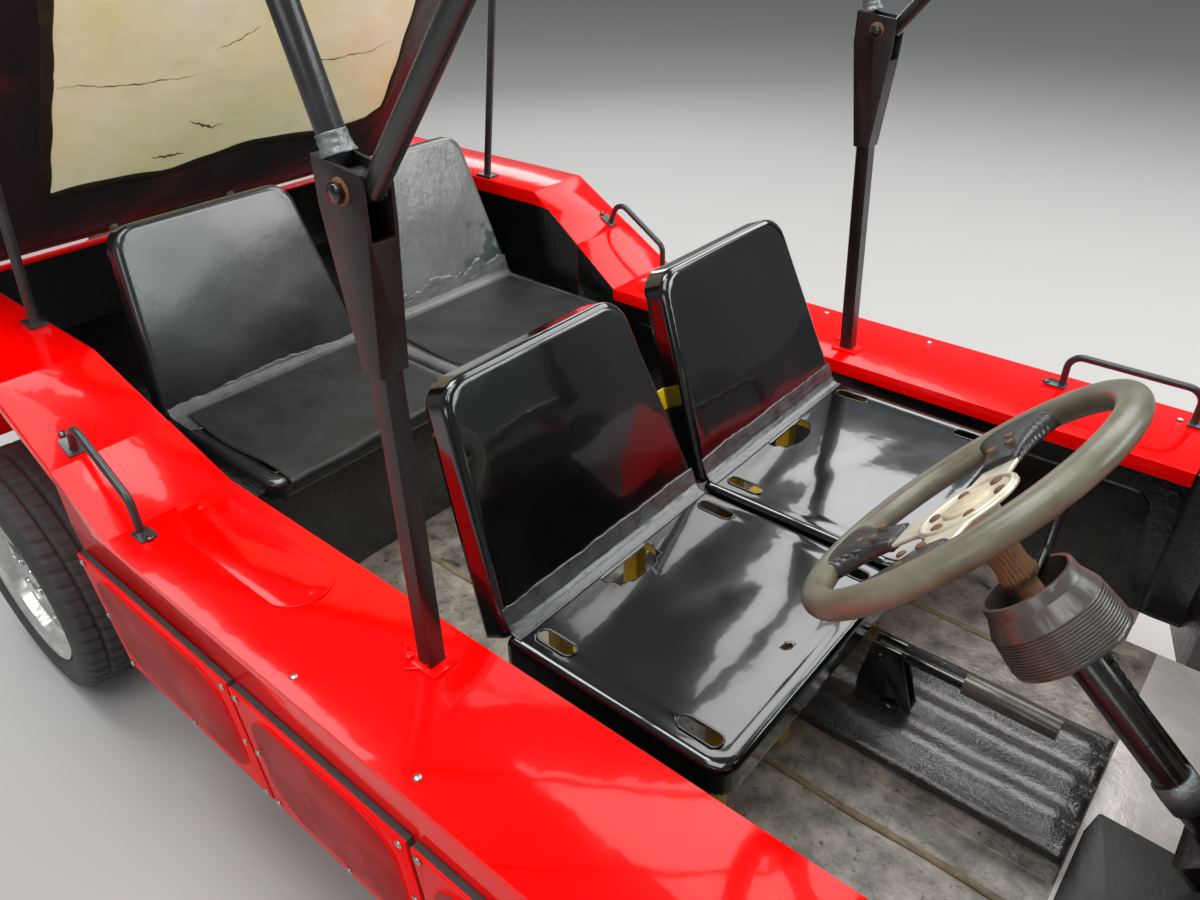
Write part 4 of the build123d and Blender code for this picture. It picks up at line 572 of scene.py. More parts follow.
def mesh_piece(
    name: str, points: Array, faces: Sequence[Sequence[int]] | Array, finish: Finish, smooth: bool = True
) -> bpy.types.Object:
    """Make a mesh object from points in millimetres.

    Args:
        name: The piece's name.
        points: The vertices, n by 3.
        faces: The faces' vertex numbers.
        finish: What it is painted with.
        smooth: Whether the faces are shaded smooth.

    Returns:
        The object, at the origin, unturned and unscaled.
    """
    mesh = bpy.data.meshes.new(name)
    listed = faces.tolist() if isinstance(faces, np.ndarray) else faces
    mesh.from_pydata(np.asarray(points, float) * MM, [], listed)
    mesh.polygons.foreach_set("use_smooth", np.full(len(mesh.polygons), smooth))
    mesh.update()
    made = bpy.data.objects.new(name, mesh)
    bpy.context.scene.collection.objects.link(made)
    mesh.materials.append(finish.build())
    return made


def grid_faces(rows: int, columns: int, wrap_rows: bool = False, wrap_columns: bool = False) -> Array:
    """Number the quads of a grid of points.

    Args:
        rows: How many rows of points.
        columns: How many points in a row.
        wrap_rows: Whether the last row joins the first.
        wrap_columns: Whether a row's last point joins its first.

    Returns:
        The quads, n by 4.
    """
    i = np.arange(rows if wrap_rows else rows - 1)[:, None]
    j = np.arange(columns if wrap_columns else columns - 1)[None, :]
    up, across = (i + 1) % rows, (j + 1) % columns
    corners = (i * columns + j, i * columns + across, up * columns + across, up * columns + j)
    return np.stack([c + 0 * i + 0 * j for c in corners], -1).reshape(-1, 4)


def grid_piece(name: str, grids: Sequence[Array], finish: Finish) -> bpy.types.Object:
    """Make a sheet from its points' three coordinates, each a grid of the same shape."""
    return mesh_piece(name, np.stack(grids, -1).reshape(-1, 3), grid_faces(*grids[0].shape), finish)


def repeated(faces: Array, copies: int, count: int) -> Array:
    """Number the quads of equal shapes whose points follow one another, count points in each."""
    return (faces[None] + (np.arange(copies) * count)[:, None, None]).reshape(-1, 4)


def spun(points: Array, degrees: float) -> Array:
    """Turn points about Z by degrees: x cos - y sin and x sin + y cos."""
    c, s = math.cos(math.radians(degrees)), math.sin(math.radians(degrees))
    x, y, z = points[..., 0], points[..., 1], points[..., 2]
    return np.stack([x * c - y * s, x * s + y * c, z], -1)


def rounded_path(corners: Sequence[Sequence[float]], bend: float, steps: int = 10) -> Array:
    """Follow straight runs joined by arcs.

    At each inner corner the arc of radius bend touches both runs: it starts bend * tan(turn / 2) before
    the corner, and its points are the centre plus the two radii blended by sines of the part turned.

    Args:
        corners: The corners of the runs.
        bend: The arcs' radius.
        steps: How many points each arc has.

    Returns:
        The points along the path.
    """
    spots = [np.asarray(c, float) for c in corners]
    rows = [spots[0][None]]
    for before, here, after in zip(spots, spots[1:], spots[2:]):
        first = (before - here) / np.linalg.norm(before - here)
        second = (after - here) / np.linalg.norm(after - here)
        turn = math.pi - math.acos(float(np.clip(first @ second, -1, 1)))
        if turn < 1e-3:
            rows.append(here[None])
            continue
        reach = bend * math.tan(turn / 2)
        middle = (first + second) / np.linalg.norm(first + second)
        centre = here + middle * bend / math.cos(turn / 2)
        start, end = here + first * reach - centre, here + second * reach - centre
        t = np.linspace(0, 1, steps)[:, None]
        rows.append(centre + (np.sin((1 - t) * turn) * start + np.sin(t * turn) * end) / math.sin(turn))
    rows.append(spots[-1][None])
    return np.concatenate(rows)


def resample(path: Array, spacing: float) -> Array:
    """Space points evenly along a path.

    Args:
        path: The path's points.
        spacing: The wanted distance between them.

    Returns:
        Points at equal distances, with both ends kept.
    """
    run = np.r_[0, np.cumsum(np.linalg.norm(np.diff(path, axis=0), axis=1))]
    at = np.linspace(0, run[-1], max(2, int(run[-1] / spacing) + 1))
    return np.stack([np.interp(at, run, path[:, k]) for k in range(3)], -1)


def round_angles(count: int) -> Array:
    """Equal angles once round, in radians, without the last one that meets the first."""
    return np.linspace(0, 2 * math.pi, count, endpoint=False)


def ring(radius: float, sides: int = 24, squash: float = 1.0) -> Array:
    """A round profile: radius times the cosine and sine of equal angles, its height squashed."""
    a = round_angles(sides)
    return np.stack([radius * np.cos(a), radius * squash * np.sin(a)], -1)


def sweep_points(path: Array, profile: Array, binormal: Sequence[float], sizes: Array | None = None,
                 closed: bool = False) -> Array:
    """Carry a profile along a path that lies in one plane.

    Each section is the path's point, plus the profile's first number along the plane's normal, plus its
    second number along the normal's cross product with the path's direction, both times the size there.

    Args:
        path: The path, n by 3.
        profile: The section, m by 2.
        binormal: The normal of the path's plane.
        sizes: The section's size at each point of the path.
        closed: Whether the path is a loop.

    Returns:
        The points, n by m by 3.
    """
    if closed:
        along = np.roll(path, -1, 0) - np.roll(path, 1, 0)
    else:
        along = np.gradient(path, axis=0)
    along /= np.linalg.norm(along, axis=1, keepdims=True)
    across = np.asarray(binormal, float) / np.linalg.norm(binormal)
    up = np.cross(across, along)
    up /= np.linalg.norm(up, axis=1, keepdims=True)
    scale = np.ones(len(path)) if sizes is None else np.asarray(sizes, float)
    first = profile[None, :, 0, None] * across[None, None]
    second = profile[None, :, 1, None] * up[:, None]
    return path[:, None] + (first + second) * scale[:, None, None]


def loft(name: str, points: Array, finish: Finish, closed: bool = False) -> bpy.types.Object:
    """Make a closed piece from rings of points, its two ends closed by fans.

    Args:
        name: The piece's name.
        points: The rings, n by m by 3.
        finish: What it is painted with.
        closed: Whether the last ring joins the first.

    Returns:
        The piece.
    """
    n, m = points.shape[:2]
    faces = grid_faces(n, m, closed, True).tolist()
    rows = points.reshape(-1, 3)
    if not closed:
        j = np.arange(m)
        k = (j + 1) % m
        faces += np.stack([np.full(m, n * m), k, j], -1).tolist()
        faces += np.stack([np.full(m, n * m + 1), (n - 1) * m + j, (n - 1) * m + k], -1).tolist()
        rows = np.concatenate([rows, [points[0].mean(0), points[-1].mean(0)]])
    return face_outwards(mesh_piece(name, rows, faces, finish))


def tube(name: str, path: Array, profile: Array, binormal: Sequence[float], finish: Finish,
         sizes: Array | None = None, closed: bool = False) -> bpy.types.Object:
    """Make a bar by carrying a profile along a path.

    Args:
        name: The piece's name.
        path: The path, n by 3.
        profile: The section, m by 2.
        binormal: The normal of the path's plane.
        finish: What it is painted with.
        sizes: The section's size at each point of the path.
        closed: Whether the path is a loop.

    Returns:
        The piece.
    """
    return loft(name, sweep_points(path, profile, binormal, sizes, closed), finish, closed)


def turned(
    name: str, places: Sequence[Sequence[float]], way: Sequence[float], profile: Sequence[Sequence[float]],
    finish: Finish, sides: int = 32, loop: bool = False,
) -> bpy.types.Object:
    """Turn a profile round an axis, at one place or at many.

    A point is the place, plus its radius times the cosine and sine of the angle along two directions
    square to the axis, plus its height along the axis.

    Args:
        name: The piece's name.
        places: Where the axis starts, one for each copy.
        way: The axis.
        profile: Pairs of radius and height, from the axis out and back to it.
        finish: What it is painted with.
        sides: How many sides the turned shape has.
        loop: Whether the profile joins itself, as a ring's does.

    Returns:
        The piece.
    """
    axis = np.asarray(way, float) / np.linalg.norm(way)
    first = np.cross(axis, (0.31, 0.92, 0.17))
    first /= np.linalg.norm(first)
    second = np.cross(axis, first)
    a = round_angles(sides)
    round_way = np.cos(a)[:, None] * first + np.sin(a)[:, None] * second
    shape = np.asarray(profile, float)
    one = shape[:, 0, None, None] * round_way[None] + shape[:, 1, None, None] * axis
    spots = np.asarray(places, float)
    rows = spots[:, None, None] + one[None]
    every = repeated(grid_faces(len(shape), sides, loop, True), len(spots), len(shape) * sides)
    return face_outwards(mesh_piece(name, rows.reshape(-1, 3), every, finish))


def both_sides(places: Sequence[Sequence[float]]) -> Array:
    """Give each place on the car's right and then on its left."""
    return np.array([(x, side * y, z) for x, y, z in places for side, _ in SIDES], float)


def dome(radius: float, height: float) -> list[tuple[float, float]]:
    """A round head's profile: a low wall and a cap that closes by a quarter turn."""
    a = np.linspace(0, math.pi / 2, 6)
    cap = [(radius * math.cos(t), height * (0.35 + 0.65 * math.sin(t))) for t in a]
    return [(0.0, 0.0), (radius, 0.0), *cap]


def hexagon(radius: float, height: float) -> list[tuple[float, float]]:
    """A nut's profile: six flats, a small chamfer, and a flat top."""
    return [(0.0, 0.0), (radius, 0.0), (radius, 0.85 * height), (0.9 * radius, height), (0.0, height)]


class Head(Enum):
    """The kinds of fastener, each by its head's radius, its height and how many sides it has."""

    COVER_SCREW = (4.6, 1.8, 16)
    TOP_SCREW = (5.0, 3.0, 14)
    HANDLE_SCREW = (6.2, 3.6, 16)
    PLATE_SCREW = (5.6, 3.4, 14)
    WHEEL_BOLT = (6.2, 3.4, 16)
    PAD_SCREW = (5.2, 3.0, 14)
    HUB_CAP = (19.6, 9.0, 32)
    POST_BOLT = (9.5, 7.0, 6)
    FOOT_NUT = (6.0, 5.0, 6)
    WHEEL_NUT = (8.5, 11.0, 6)

    def fit(self, name: str, places: Sequence[Sequence[float]], way: Sequence[float], finish: Finish
            ) -> bpy.types.Object:
        """Fit one of these at each place, facing one way: a hexagon for six sides, else a dome."""
        radius, height, sides = self.value
        profile = hexagon(radius, height) if sides == 6 else dome(radius, height)
        return turned(name, places, way, profile, finish, sides)


def face_outwards(piece: bpy.types.Object) -> bpy.types.Object:
    """Turn a closed piece's faces outwards, after merging its doubles."""
    body = bmesh.new()
    body.from_mesh(piece.data)
    bmesh.ops.remove_doubles(body, verts=body.verts, dist=1e-6)
    bmesh.ops.recalc_face_normals(body, faces=body.faces)
    body.to_mesh(piece.data)
    body.free()
    return piece


# Pieces made from the CAD solids


@dataclass(frozen=True)
class Second:
    """A second finish on some of a piece's faces.

    where takes the faces' middles in millimetres and their normals, and says which of them get it. cuts
    are planes, each a point and a normal, that split the faces first.
    """

    finish: Finish
    where: Choice
    cuts: tuple[tuple[Sequence[float], Sequence[float]], ...] = ()


def dressed(node: str, finish: Finish, bevel: float = 2.0, seconds: Sequence[Second] = (),
            angle: float = 30.0, shape: Callable[[Array], Array] | None = None) -> bpy.types.Object:
    """Stand a copy of a CAD piece in its place, with the same shape and softened edges.

    The copy's loose triangles are merged, its flat faces joined, and each edge sharper than the angle
    is rounded, so that it catches the light as a folded or moulded edge does.

    Args:
        node: The CAD node.
        finish: What it is painted with.
        bevel: The rounded edges' radius.
        seconds: Other finishes on some of its faces.
        angle: The least sharp edge that is rounded, in degrees.
        shape: Moves the copy's points, in millimetres, a little towards the photograph.

    Returns:
        The piece.
    """
    source = frame["nodes"][node]
    mesh = source.data.copy()
    if shape:
        points = np.empty(3 * len(mesh.vertices))
        mesh.vertices.foreach_get("co", points)
        mesh.vertices.foreach_set("co", (shape(points.reshape(-1, 3) / MM) * MM).ravel())
    mesh.materials.clear()
    mesh.materials.append(finish.build())
    made = bpy.data.objects.new(f"{node}_dressed", mesh)
    bpy.context.scene.collection.objects.link(made)
    body = bmesh.new()
    body.from_mesh(mesh)
    bmesh.ops.remove_doubles(body, verts=body.verts, dist=MERGE_GAP)
    flat = {"angle_limit": FLAT_ANGLE, "delimit": {"NORMAL"}}
    bmesh.ops.dissolve_limit(body, verts=body.verts, edges=body.edges, **flat)
    for second in seconds:
        for point, normal in second.cuts:
            every = list(body.verts) + list(body.edges) + list(body.faces)
            bmesh.ops.bisect_plane(body, geom=every, plane_co=Vector(point) * MM, plane_no=Vector(normal),
                                   dist=1e-6)
    body.to_mesh(mesh)
    body.free()
    count = len(mesh.polygons)
    middles, normals = np.empty(3 * count), np.empty(3 * count)
    mesh.polygons.foreach_get("center", middles)
    mesh.polygons.foreach_get("normal", normals)
    pick = np.zeros(count, int)
    for place, second in enumerate(seconds, 1):
        mesh.materials.append(second.finish.build())
        pick[second.where(middles.reshape(-1, 3) / MM, normals.reshape(-1, 3))] = place
    mesh.polygons.foreach_set("material_index", pick)
    mesh.polygons.foreach_set("use_smooth", np.full(count, True))
    soft = made.modifiers.new("rounded_edges", "BEVEL")
    soft.width = bevel * MM
    soft.segments = 2
    soft.limit_method = "ANGLE"
    soft.angle_limit = math.radians(angle)
    soft.harden_normals = True
    soft.use_clamp_overlap = True
    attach(made, source["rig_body"])
    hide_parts(node)
    log.info("dressed %s", node)
    return made


def painted(node: str, finish: Finish) -> None:
    """Give a CAD piece a better finish, where its shape is right as it is."""
    piece = frame["nodes"][node]
    piece.data.materials.clear()
    piece.data.materials.append(finish.build())
    log.info("painted %s", node)


def settle(piece: bpy.types.Object, body: str, stands_for: str = "") -> bpy.types.Object:
    """Let a new piece ride on a CAD body, and stand for a node if one is given, which is then hidden."""
    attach(piece, body)
    if stands_for:
        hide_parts(stands_for)
    log.info("made %s", piece.name)
    return piece


def thicken(piece: bpy.types.Object, wall: float, offset: float = -1.0) -> bpy.types.Object:
    """Give a surface a wall, inwards from its face unless the offset says otherwise."""
    wall_maker = piece.modifiers.new("wall", "SOLIDIFY")
    wall_maker.thickness = wall * MM
    wall_maker.offset = offset
    wall_maker.use_even_offset = True
    return piece


# Studio


@dataclass(frozen=True)
class Lamp:
    """A flat soft lamp: its middle, the point that it faces, its two sides and how bright its face is."""

    name: str
    place: tuple[float, float, float]
    aim: tuple[float, float, float]
    sides: tuple[float, float]
    radiance: float

    def hang(self) -> None:
        """Hang the lamp. Its power is the face's radiance times pi times its area."""
        data = bpy.data.lights.new(self.name, "AREA")
        data.shape = "RECTANGLE"
        data.size, data.size_y = self.sides[0] * MM, self.sides[1] * MM
        data.energy = self.radiance * math.pi * data.size * data.size_y
        made = bpy.data.objects.new(self.name, data)
        bpy.context.scene.collection.objects.link(made)
        way = (Vector(self.aim) - Vector(self.place)).normalized()
        turn = way.to_track_quat("-Z", "Y").to_matrix().to_4x4()
        made.matrix_world = Matrix.Translation(Vector(self.place) * MM) @ turn


@dataclass(frozen=True)
class Studio:
    """The camera where the photograph was taken from, a pale floor, and soft light from the sky's side."""

    eye: tuple[float, float, float] = (688.4, -958.5, 1420.8)
    heading: float = 2.2778
    tilt: float = -0.5781
    roll: float = 0.0173
    lens: float = 27.46
    floor_half: float = 45000.0
    surround: str = "#787c80"
    floor_colour: str = "#b6b5b2"
    lamps: tuple[Lamp, ...] = (
        Lamp("sky_panel", (430, 3476, 4280), (430, 0, 620), (4300, 2600), 4.4),
        Lamp("roof_panel", (900, -1600, 5000), (300, -200, 500), (3200, 3200), 4.6),
        Lamp("near_panel", (1200, -5200, 2600), (0, 0, 500), (3200, 1600), 2.6),
        Lamp("rear_panel", (-2300, -500, 6300), (-1060, 0, 1090), (2200, 3400), 8.5),
        Lamp("front_panel", (4400, 2900, 3050), (-830, 0, 780), (3600, 2000), 6.2),
        Lamp("horizon_panel", (-3800, 3670, 2030), (-800, 560, 790), (2600, 900), 3.6),
    )

    def camera(self) -> None:
        """Make the camera: it looks along the heading and tilt, and its sides turn by the roll."""
        ahead = Vector((math.cos(self.tilt) * math.cos(self.heading),
                        math.cos(self.tilt) * math.sin(self.heading), math.sin(self.tilt)))
        right = ahead.cross(Vector((0, 0, 1))).normalized()
        down = ahead.cross(right)
        c, s = math.cos(self.roll), math.sin(self.roll)
        across, below = c * right + s * down, c * down - s * right
        data = bpy.data.cameras.new("photo_camera")
        data.lens = self.lens
        data.sensor_width = 36.0
        data.clip_start = 0.05
        data.clip_end = 200.0
        made = bpy.data.objects.new("photo_camera", data)
        bpy.context.scene.collection.objects.link(made)
        turn = Matrix((across, -below, -ahead)).transposed().to_4x4()
        made.matrix_world = Matrix.Translation(Vector(self.eye) * MM) @ turn
        bpy.context.scene.camera = made

    def floor(self) -> None:
        """Make the pale floor: a plane far wider than the view."""
        half = self.floor_half
        points = np.array([(-half, -half, 0), (half, -half, 0), (half, half, 0), (-half, half, 0)], float)
        plain = Finish("studio_floor", self.floor_colour, self.floor_colour, 900.0, (0.6, 0.62))
        mesh_piece("studio_floor", points, [[0, 1, 2, 3]], plain, smooth=False)

    def build(self) -> None:
        """Make the whole studio."""
        self.camera()
        self.floor()
        for lamp in self.lamps:
            lamp.hang()
        world = bpy.data.worlds.new("studio_world")
        world.use_nodes = True
        world.node_tree.nodes["Background"].inputs["Color"].default_value = linear(self.surround)
        world.node_tree.nodes["Background"].inputs["Strength"].default_value = 1.0
        bpy.context.scene.world = world
        bpy.context.scene.view_settings.view_transform = "Standard"


# Cabin


@dataclass
class SheetForm:
    """A flat sheet inside a straight-sided outline, rolled over at its rim into a flange."""

    corners: tuple[tuple[float, float], ...]
    corner_radius: float
    roll: float
    flange: float
    fine: float = 2.6
    coarse: float = 7.0

    def rim_gap(self, plan: Array) -> tuple[Array, Array, Array]:
        """Measure how far plan points lie outside the flat part.

        The outline is drawn in by the corner radius. A point's distance to that inner outline is the
        least over its sides, each a clamped projection, and it is negative inside.

        Args:
            plan: The points, n by 2.

        Returns:
            The distance beyond the flat part, the nearest point of the inner outline, and the way out.
        """
        spots = np.array(self.corners, float)
        after = np.roll(spots, -1, 0)
        side = after - spots
        length = np.linalg.norm(side, axis=1, keepdims=True)
        inward = np.stack([-side[:, 1], side[:, 0]], -1) / length
        level = (inward * spots).sum(1) + self.corner_radius
        before = np.roll(np.arange(len(spots)), 1)
        inner = np.array([
            np.linalg.solve(np.stack([inward[a], inward[b]]), [level[a], level[b]])
            for a, b in zip(before, range(len(spots)))
        ])
        nxt = np.roll(inner, -1, 0)
        run = nxt - inner
        t = ((plan[:, None] - inner[None]) * run[None]).sum(2) / (run * run).sum(1)[None]
        near = inner[None] + np.clip(t, 0, 1)[..., None] * run[None]
        gap = np.linalg.norm(plan[:, None] - near, axis=2)
        best = gap.argmin(1)
        pick = np.arange(len(plan))
        inside = ((plan[:, None] * inward[None]).sum(2) >= level[None]).all(1)
        nearest = near[pick, best]
        away = plan - nearest
        size = np.linalg.norm(away, axis=1, keepdims=True)
        signed = np.where(inside, -gap[pick, best], gap[pick, best])
        return signed - (self.corner_radius - self.roll), nearest, away / np.maximum(size, 1e-9)

    def lines(self, low: float, high: float, rims: tuple[bool, bool]) -> Array:
        """Place grid lines: close together near a rolled rim, wider apart elsewhere.

        Args:
            low: Where the flat outline starts.
            high: Where it ends.
            rims: Whether there is a rim at the start and at the end.

        Returns:
            The lines' places, past the rims by the unrolled flange.
        """
        arc = self.roll * math.pi / 2
        band = arc + self.roll * 0.3 + self.corner_radius * 0.3
        reach = arc - self.roll + self.flange - self.roll + 2
        start = low + (band - arc if rims[0] else 0)
        end = high - (band - arc if rims[1] else 0)
        places = [np.linspace(start, end, max(2, int((end - start) / self.coarse) + 1))]
        if rims[0]:
            places.append(np.arange(start - self.fine, low - arc, -self.fine))
            places.append(np.arange(low - arc - 3, low - reach - 8, -7.0))
        if rims[1]:
            places.append(np.arange(end + self.fine, high + arc, self.fine))
            places.append(np.arange(high + arc + 3, high + reach + 8, 7.0))
        return np.unique(np.concatenate(places).round(3))

    def surface(self, across: Array, along: Array, widen: float = 0.0) -> tuple[Array, Array]:
        """Roll the sheet: flat inside, then an arc down, then a straight flange.

        Past the flat part by d, a point goes out by roll * sin(d / roll) and down by roll * (1 - cos),
        for as long as the arc lasts, and then straight down.

        Args:
            across: Grid lines across the sheet.
            along: Grid lines along it.
            widen: How much the lines across spread per unit of length, for tapered sheets.

        Returns:
            The points with their depth, n by 3, and the quads.
        """
        a, b = np.meshgrid(across, along)
        a = a * (1 + widen * b)
        plan = np.stack([a.ravel(), b.ravel()], -1)
        past, nearest, out = self.rim_gap(plan)
        arc = self.roll * math.pi / 2
        total = arc + self.flange - self.roll
        beyond = past >= total
        past = np.minimum(past, total)
        turn = np.clip(past, 0, arc) / self.roll
        reach = self.corner_radius - self.roll + self.roll * np.sin(turn)
        rolled = nearest + out * reach[:, None]
        flat = np.where((past > 0)[:, None], rolled, plan)
        depth = self.roll * (1 - np.cos(turn)) + np.maximum(past - arc, 0)
        faces = grid_faces(len(along), len(across))
        faces = faces[~beyond[faces].all(1)]
        used, again = np.unique(faces, return_inverse=True)
        points = np.column_stack([flat, -depth])[used]
        return points, again.reshape(-1, 4)


@dataclass
class Seat:
    """One pressed sheet seat: base, leaning back, the tape over their joint, and its holes."""

    name: str
    crease: tuple[float, float, float]
    lean: float
    finish: Finish
    tape_finish: Finish
    flange: float
    seed: int
    tape_reach: tuple[float, float] = (13.0, 36.0)
    ragged: float = 0.06
    width: float = 412.0
    top_width: float = 330.0
    back_height: float = 318.0
    base_length: float = 318.0
    sheet: float = 2.2
    roll: float = 11.0
    slot_size: tuple[float, float] = (58.0, 21.0)
    slot_places: Pairs = (
        (51.0, -172.0), (51.0, 172.0), (262.0, -172.0), (262.0, 172.0))
    eye: tuple[float, float, float] = (20.0, 36.0, 50.0)
    drain: tuple[float, float] = (271.0, 4.5)
    swell: float = 0.35
    hidden: float = 200.0
    tape_inset: float = 7.0
    tape_bend: float = 18.0
    tape_crease: float = 0.35
    tape_lift: float = 1.3
    tape_wall: float = 0.8

    def waves(self, plan: Array, from_crease: Array, height: float) -> Array:
        """Dent the sheet: slow sine waves crossed with the seat's own phase, and one long shallow dent.

        They fade in as the square of the distance from the crease, over its first 90 mm.

        Args:
            plan: Points of the sheet, n by 2 or more.
            from_crease: Each point's distance from the crease.
            height: The waves' height.

        Returns:
            The heights.
        """
        x, y = plan[:, 0] / 1000, plan[:, 1] / 1000
        p = self.seed * 1.7
        first = np.sin(17 * x + 5 * y + p) * np.cos(13 * y - 4 * x + 0.6 * p)
        second = 0.6 * np.sin(31 * y + 9 * x + 2.1 * p) * np.sin(23 * x - 11 * y + p)
        across = (plan[:, 0] - 150 - 0.35 * plan[:, 1]) / 26
        dent = -1.3 * np.exp(-(across**2)) * np.exp(-(((plan[:, 1] + 30) / 110) ** 2))
        return height * (first + second + dent) * np.clip(from_crease / 90, 0, 1) ** 2

    def place(self, local: Array, lean: float = 0.0) -> Array:
        """Move points of the seat's own frame (forward, left, up) to the car, leaning back by an angle."""
        c, s = math.cos(math.radians(lean)), math.sin(math.radians(lean))
        x, y, z = local[:, 0], local[:, 1], local[:, 2]
        return np.column_stack([x * c - z * s, y, x * s + z * c]) + np.array(self.crease)

    def base(self) -> bpy.types.Object:
        """Make the base: a sheet rolled over along its sides and its front."""
        half = self.width / 2
        long = self.base_length
        outline = ((-self.hidden, -half), (long, -half), (long, half), (-self.hidden, half))
        form = SheetForm(outline, 30.0, self.roll, self.flange)
        lengthwise, crosswise = form.lines(0.0, long, (False, True)), form.lines(-half, half, (True, True))
        points, faces = form.surface(lengthwise, crosswise)
        fade = np.exp(-np.maximum(-points[:, 2], 0) / 6)
        inset = np.minimum(long - points[:, 0], half - np.abs(points[:, 1]))
        points[:, 2] -= 0.9 * np.exp(-(((inset - 27) / 2.6) ** 2)) * (points[:, 0] > 60)
        points[:, 2] += self.waves(points, points[:, 0], self.swell) * fade
        made = mesh_piece(f"{self.name}_base", self.place(points), faces, self.finish)
        thicken(made, self.sheet)
        self.cut(made)
        return made

    def back(self) -> bpy.types.Object:
        """Make the back: a tapered sheet with round top corners, rolled over at the sides and top."""
        half, top, tall, drop = self.width / 2, self.top_width / 2, self.back_height, self.hidden
        spread = (half - top) / tall
        foot = half + spread * drop
        form = SheetForm(((-foot, -drop), (foot, -drop), (top, tall), (-top, tall)), 44.0, self.roll, 42.0)
        points, faces = form.surface(form.lines(-half, half, (True, True)),
                                     form.lines(0.0, tall, (False, True)), -spread / half)
        fade = np.exp(-np.maximum(-points[:, 2], 0) / 6)
        points[:, 2] += self.waves(points + 400, points[:, 1], 1.5 * self.swell) * fade
        local = np.column_stack([points[:, 2], points[:, 0], points[:, 1]])
        made = mesh_piece(f"{self.name}_back", self.place(local, self.lean), faces, self.finish)
        return thicken(made, self.sheet)

    def cutter(self, outline: Array) -> bpy.types.Object:
        """Make a prism through the base from an outline of its plan."""
        rings = np.stack([np.column_stack([outline, np.full(len(outline), z)]) for z in (-30.0, 30.0)])
        rows = self.place(rings.reshape(-1, 3)).reshape(rings.shape)
        return loft(f"{self.name}_cutter", rows, self.finish)

    def holes(self) -> list[Array]:
        """List the holes' outlines in the base's plan: four slots, the round-ended one and the drain."""
        long, wide = self.slot_size
        a = np.linspace(-math.pi / 2, math.pi / 2, 12)
        right = np.column_stack([(long - wide) / 2 + wide / 2 * np.cos(a), wide / 2 * np.sin(a)])
        slot = np.concatenate([right, -right])
        start, reach, half = self.eye
        b = np.linspace(-math.pi / 2, math.pi / 2, 20)
        round_end = np.column_stack([start + reach * np.cos(b), half * np.sin(b)])
        drain = ring(self.drain[1], 14) + (self.drain[0], 0)
        return [*(slot + place for place in self.slot_places), round_end, drain]

    def cut(self, base: bpy.types.Object) -> None:
        """Cut the holes through the base and keep the cut mesh."""
        cutters = [self.cutter(outline) for outline in self.holes()]
        for tool in cutters:
            step = base.modifiers.new("hole", "BOOLEAN")
            step.object = tool
            step.operation = "DIFFERENCE"
            step.solver = "EXACT"
        keep_evaluated(base)
        for tool in cutters:
            mesh = tool.data
            bpy.data.objects.remove(tool)
            bpy.data.meshes.remove(mesh)

    def rims(self) -> bpy.types.Object:
        """Make the burr round each slot: a thin bead that follows its outline just above the sheet."""
        beads = []
        for outline in self.holes()[:4]:
            path = np.column_stack([outline, np.full(len(outline), 0.3)])
            path[:, 2] += self.waves(path, path[:, 0], self.swell)
            beads.append(sweep_points(self.place(path), ring(1.3, 8), (0, 0, 1), closed=True))
        stack = np.stack(beads)
        copies, steps, sides = stack.shape[:3]
        every = repeated(grid_faces(steps, sides, True, True), copies, steps * sides)
        return face_outwards(mesh_piece(f"{self.name}_slot_rims", stack.reshape(-1, 3), every, self.finish))

    def tape(self) -> bpy.types.Object:
        """Make the tape over the joint: a strip that lies on the base, bends up and lies on the back.

        Its section follows the joint's rounded corner. Its two long edges wander by sums of sines.
        """
        on_base, on_back = self.tape_reach
        half = self.width / 2 - self.tape_inset
        lean = math.radians(self.lean)
        up_back = (-math.sin(lean) * 90, 0, math.cos(lean) * 90)
        corner = rounded_path([up_back, (0, 0, 0), (120, 0, 0)], self.tape_bend, 9)
        run = np.r_[0, np.cumsum(np.linalg.norm(np.diff(corner, axis=0), axis=1))]
        middle = np.interp(0.0, corner[:, 0] - corner[:, 2], run)
        y = np.linspace(-half, half, 150)
        rng = np.random.default_rng(40 + self.seed)
        pace, phase = rng.uniform(0.01, 0.3, (3, 9, 1)), rng.uniform(0, 6.3, (3, 9, 1))
        waves = (np.sin(y * pace + phase) * 0.02 / (0.02 + pace)).sum(1)
        start = middle - on_back * (1 + self.ragged * waves[0])
        end = middle + on_base * (1 + self.ragged * waves[1])
        t = np.linspace(0, 1, 22)[:, None]
        s = start + (end - start) * t
        x, z = np.interp(s, run, corner[:, 0]), np.interp(s, run, corner[:, 2])
        crease = self.tape_crease * np.sin(s / 1.6 + 2 * waves[2])
        lift = self.tape_lift + crease * np.sin(math.pi * t)
        half_turn = (math.pi / 2 - lean) / 2
        tilt = np.clip((s - middle) / 12, -1, 1) * half_turn + half_turn
        normal_x, normal_z = np.cos(tilt) * math.cos(lean), np.sin(tilt)
        rows = np.stack([x + lift * normal_x, y + 0 * x, z + lift * normal_z], -1).reshape(-1, 3)
        rows[:, 2] += self.waves(rows, np.maximum(rows[:, 0], 0), self.swell)
        made = mesh_piece(f"{self.name}_tape", self.place(rows), grid_faces(len(t), len(y)), self.tape_finish)
        return thicken(made, self.tape_wall, 0.0)

    def build(self) -> None:
        """Make the seat and let it stand for its CAD solid."""
        settle(self.base(), "body", self.name)
        for piece in (self.back(), self.tape(), self.rims()):
            settle(piece, "body")


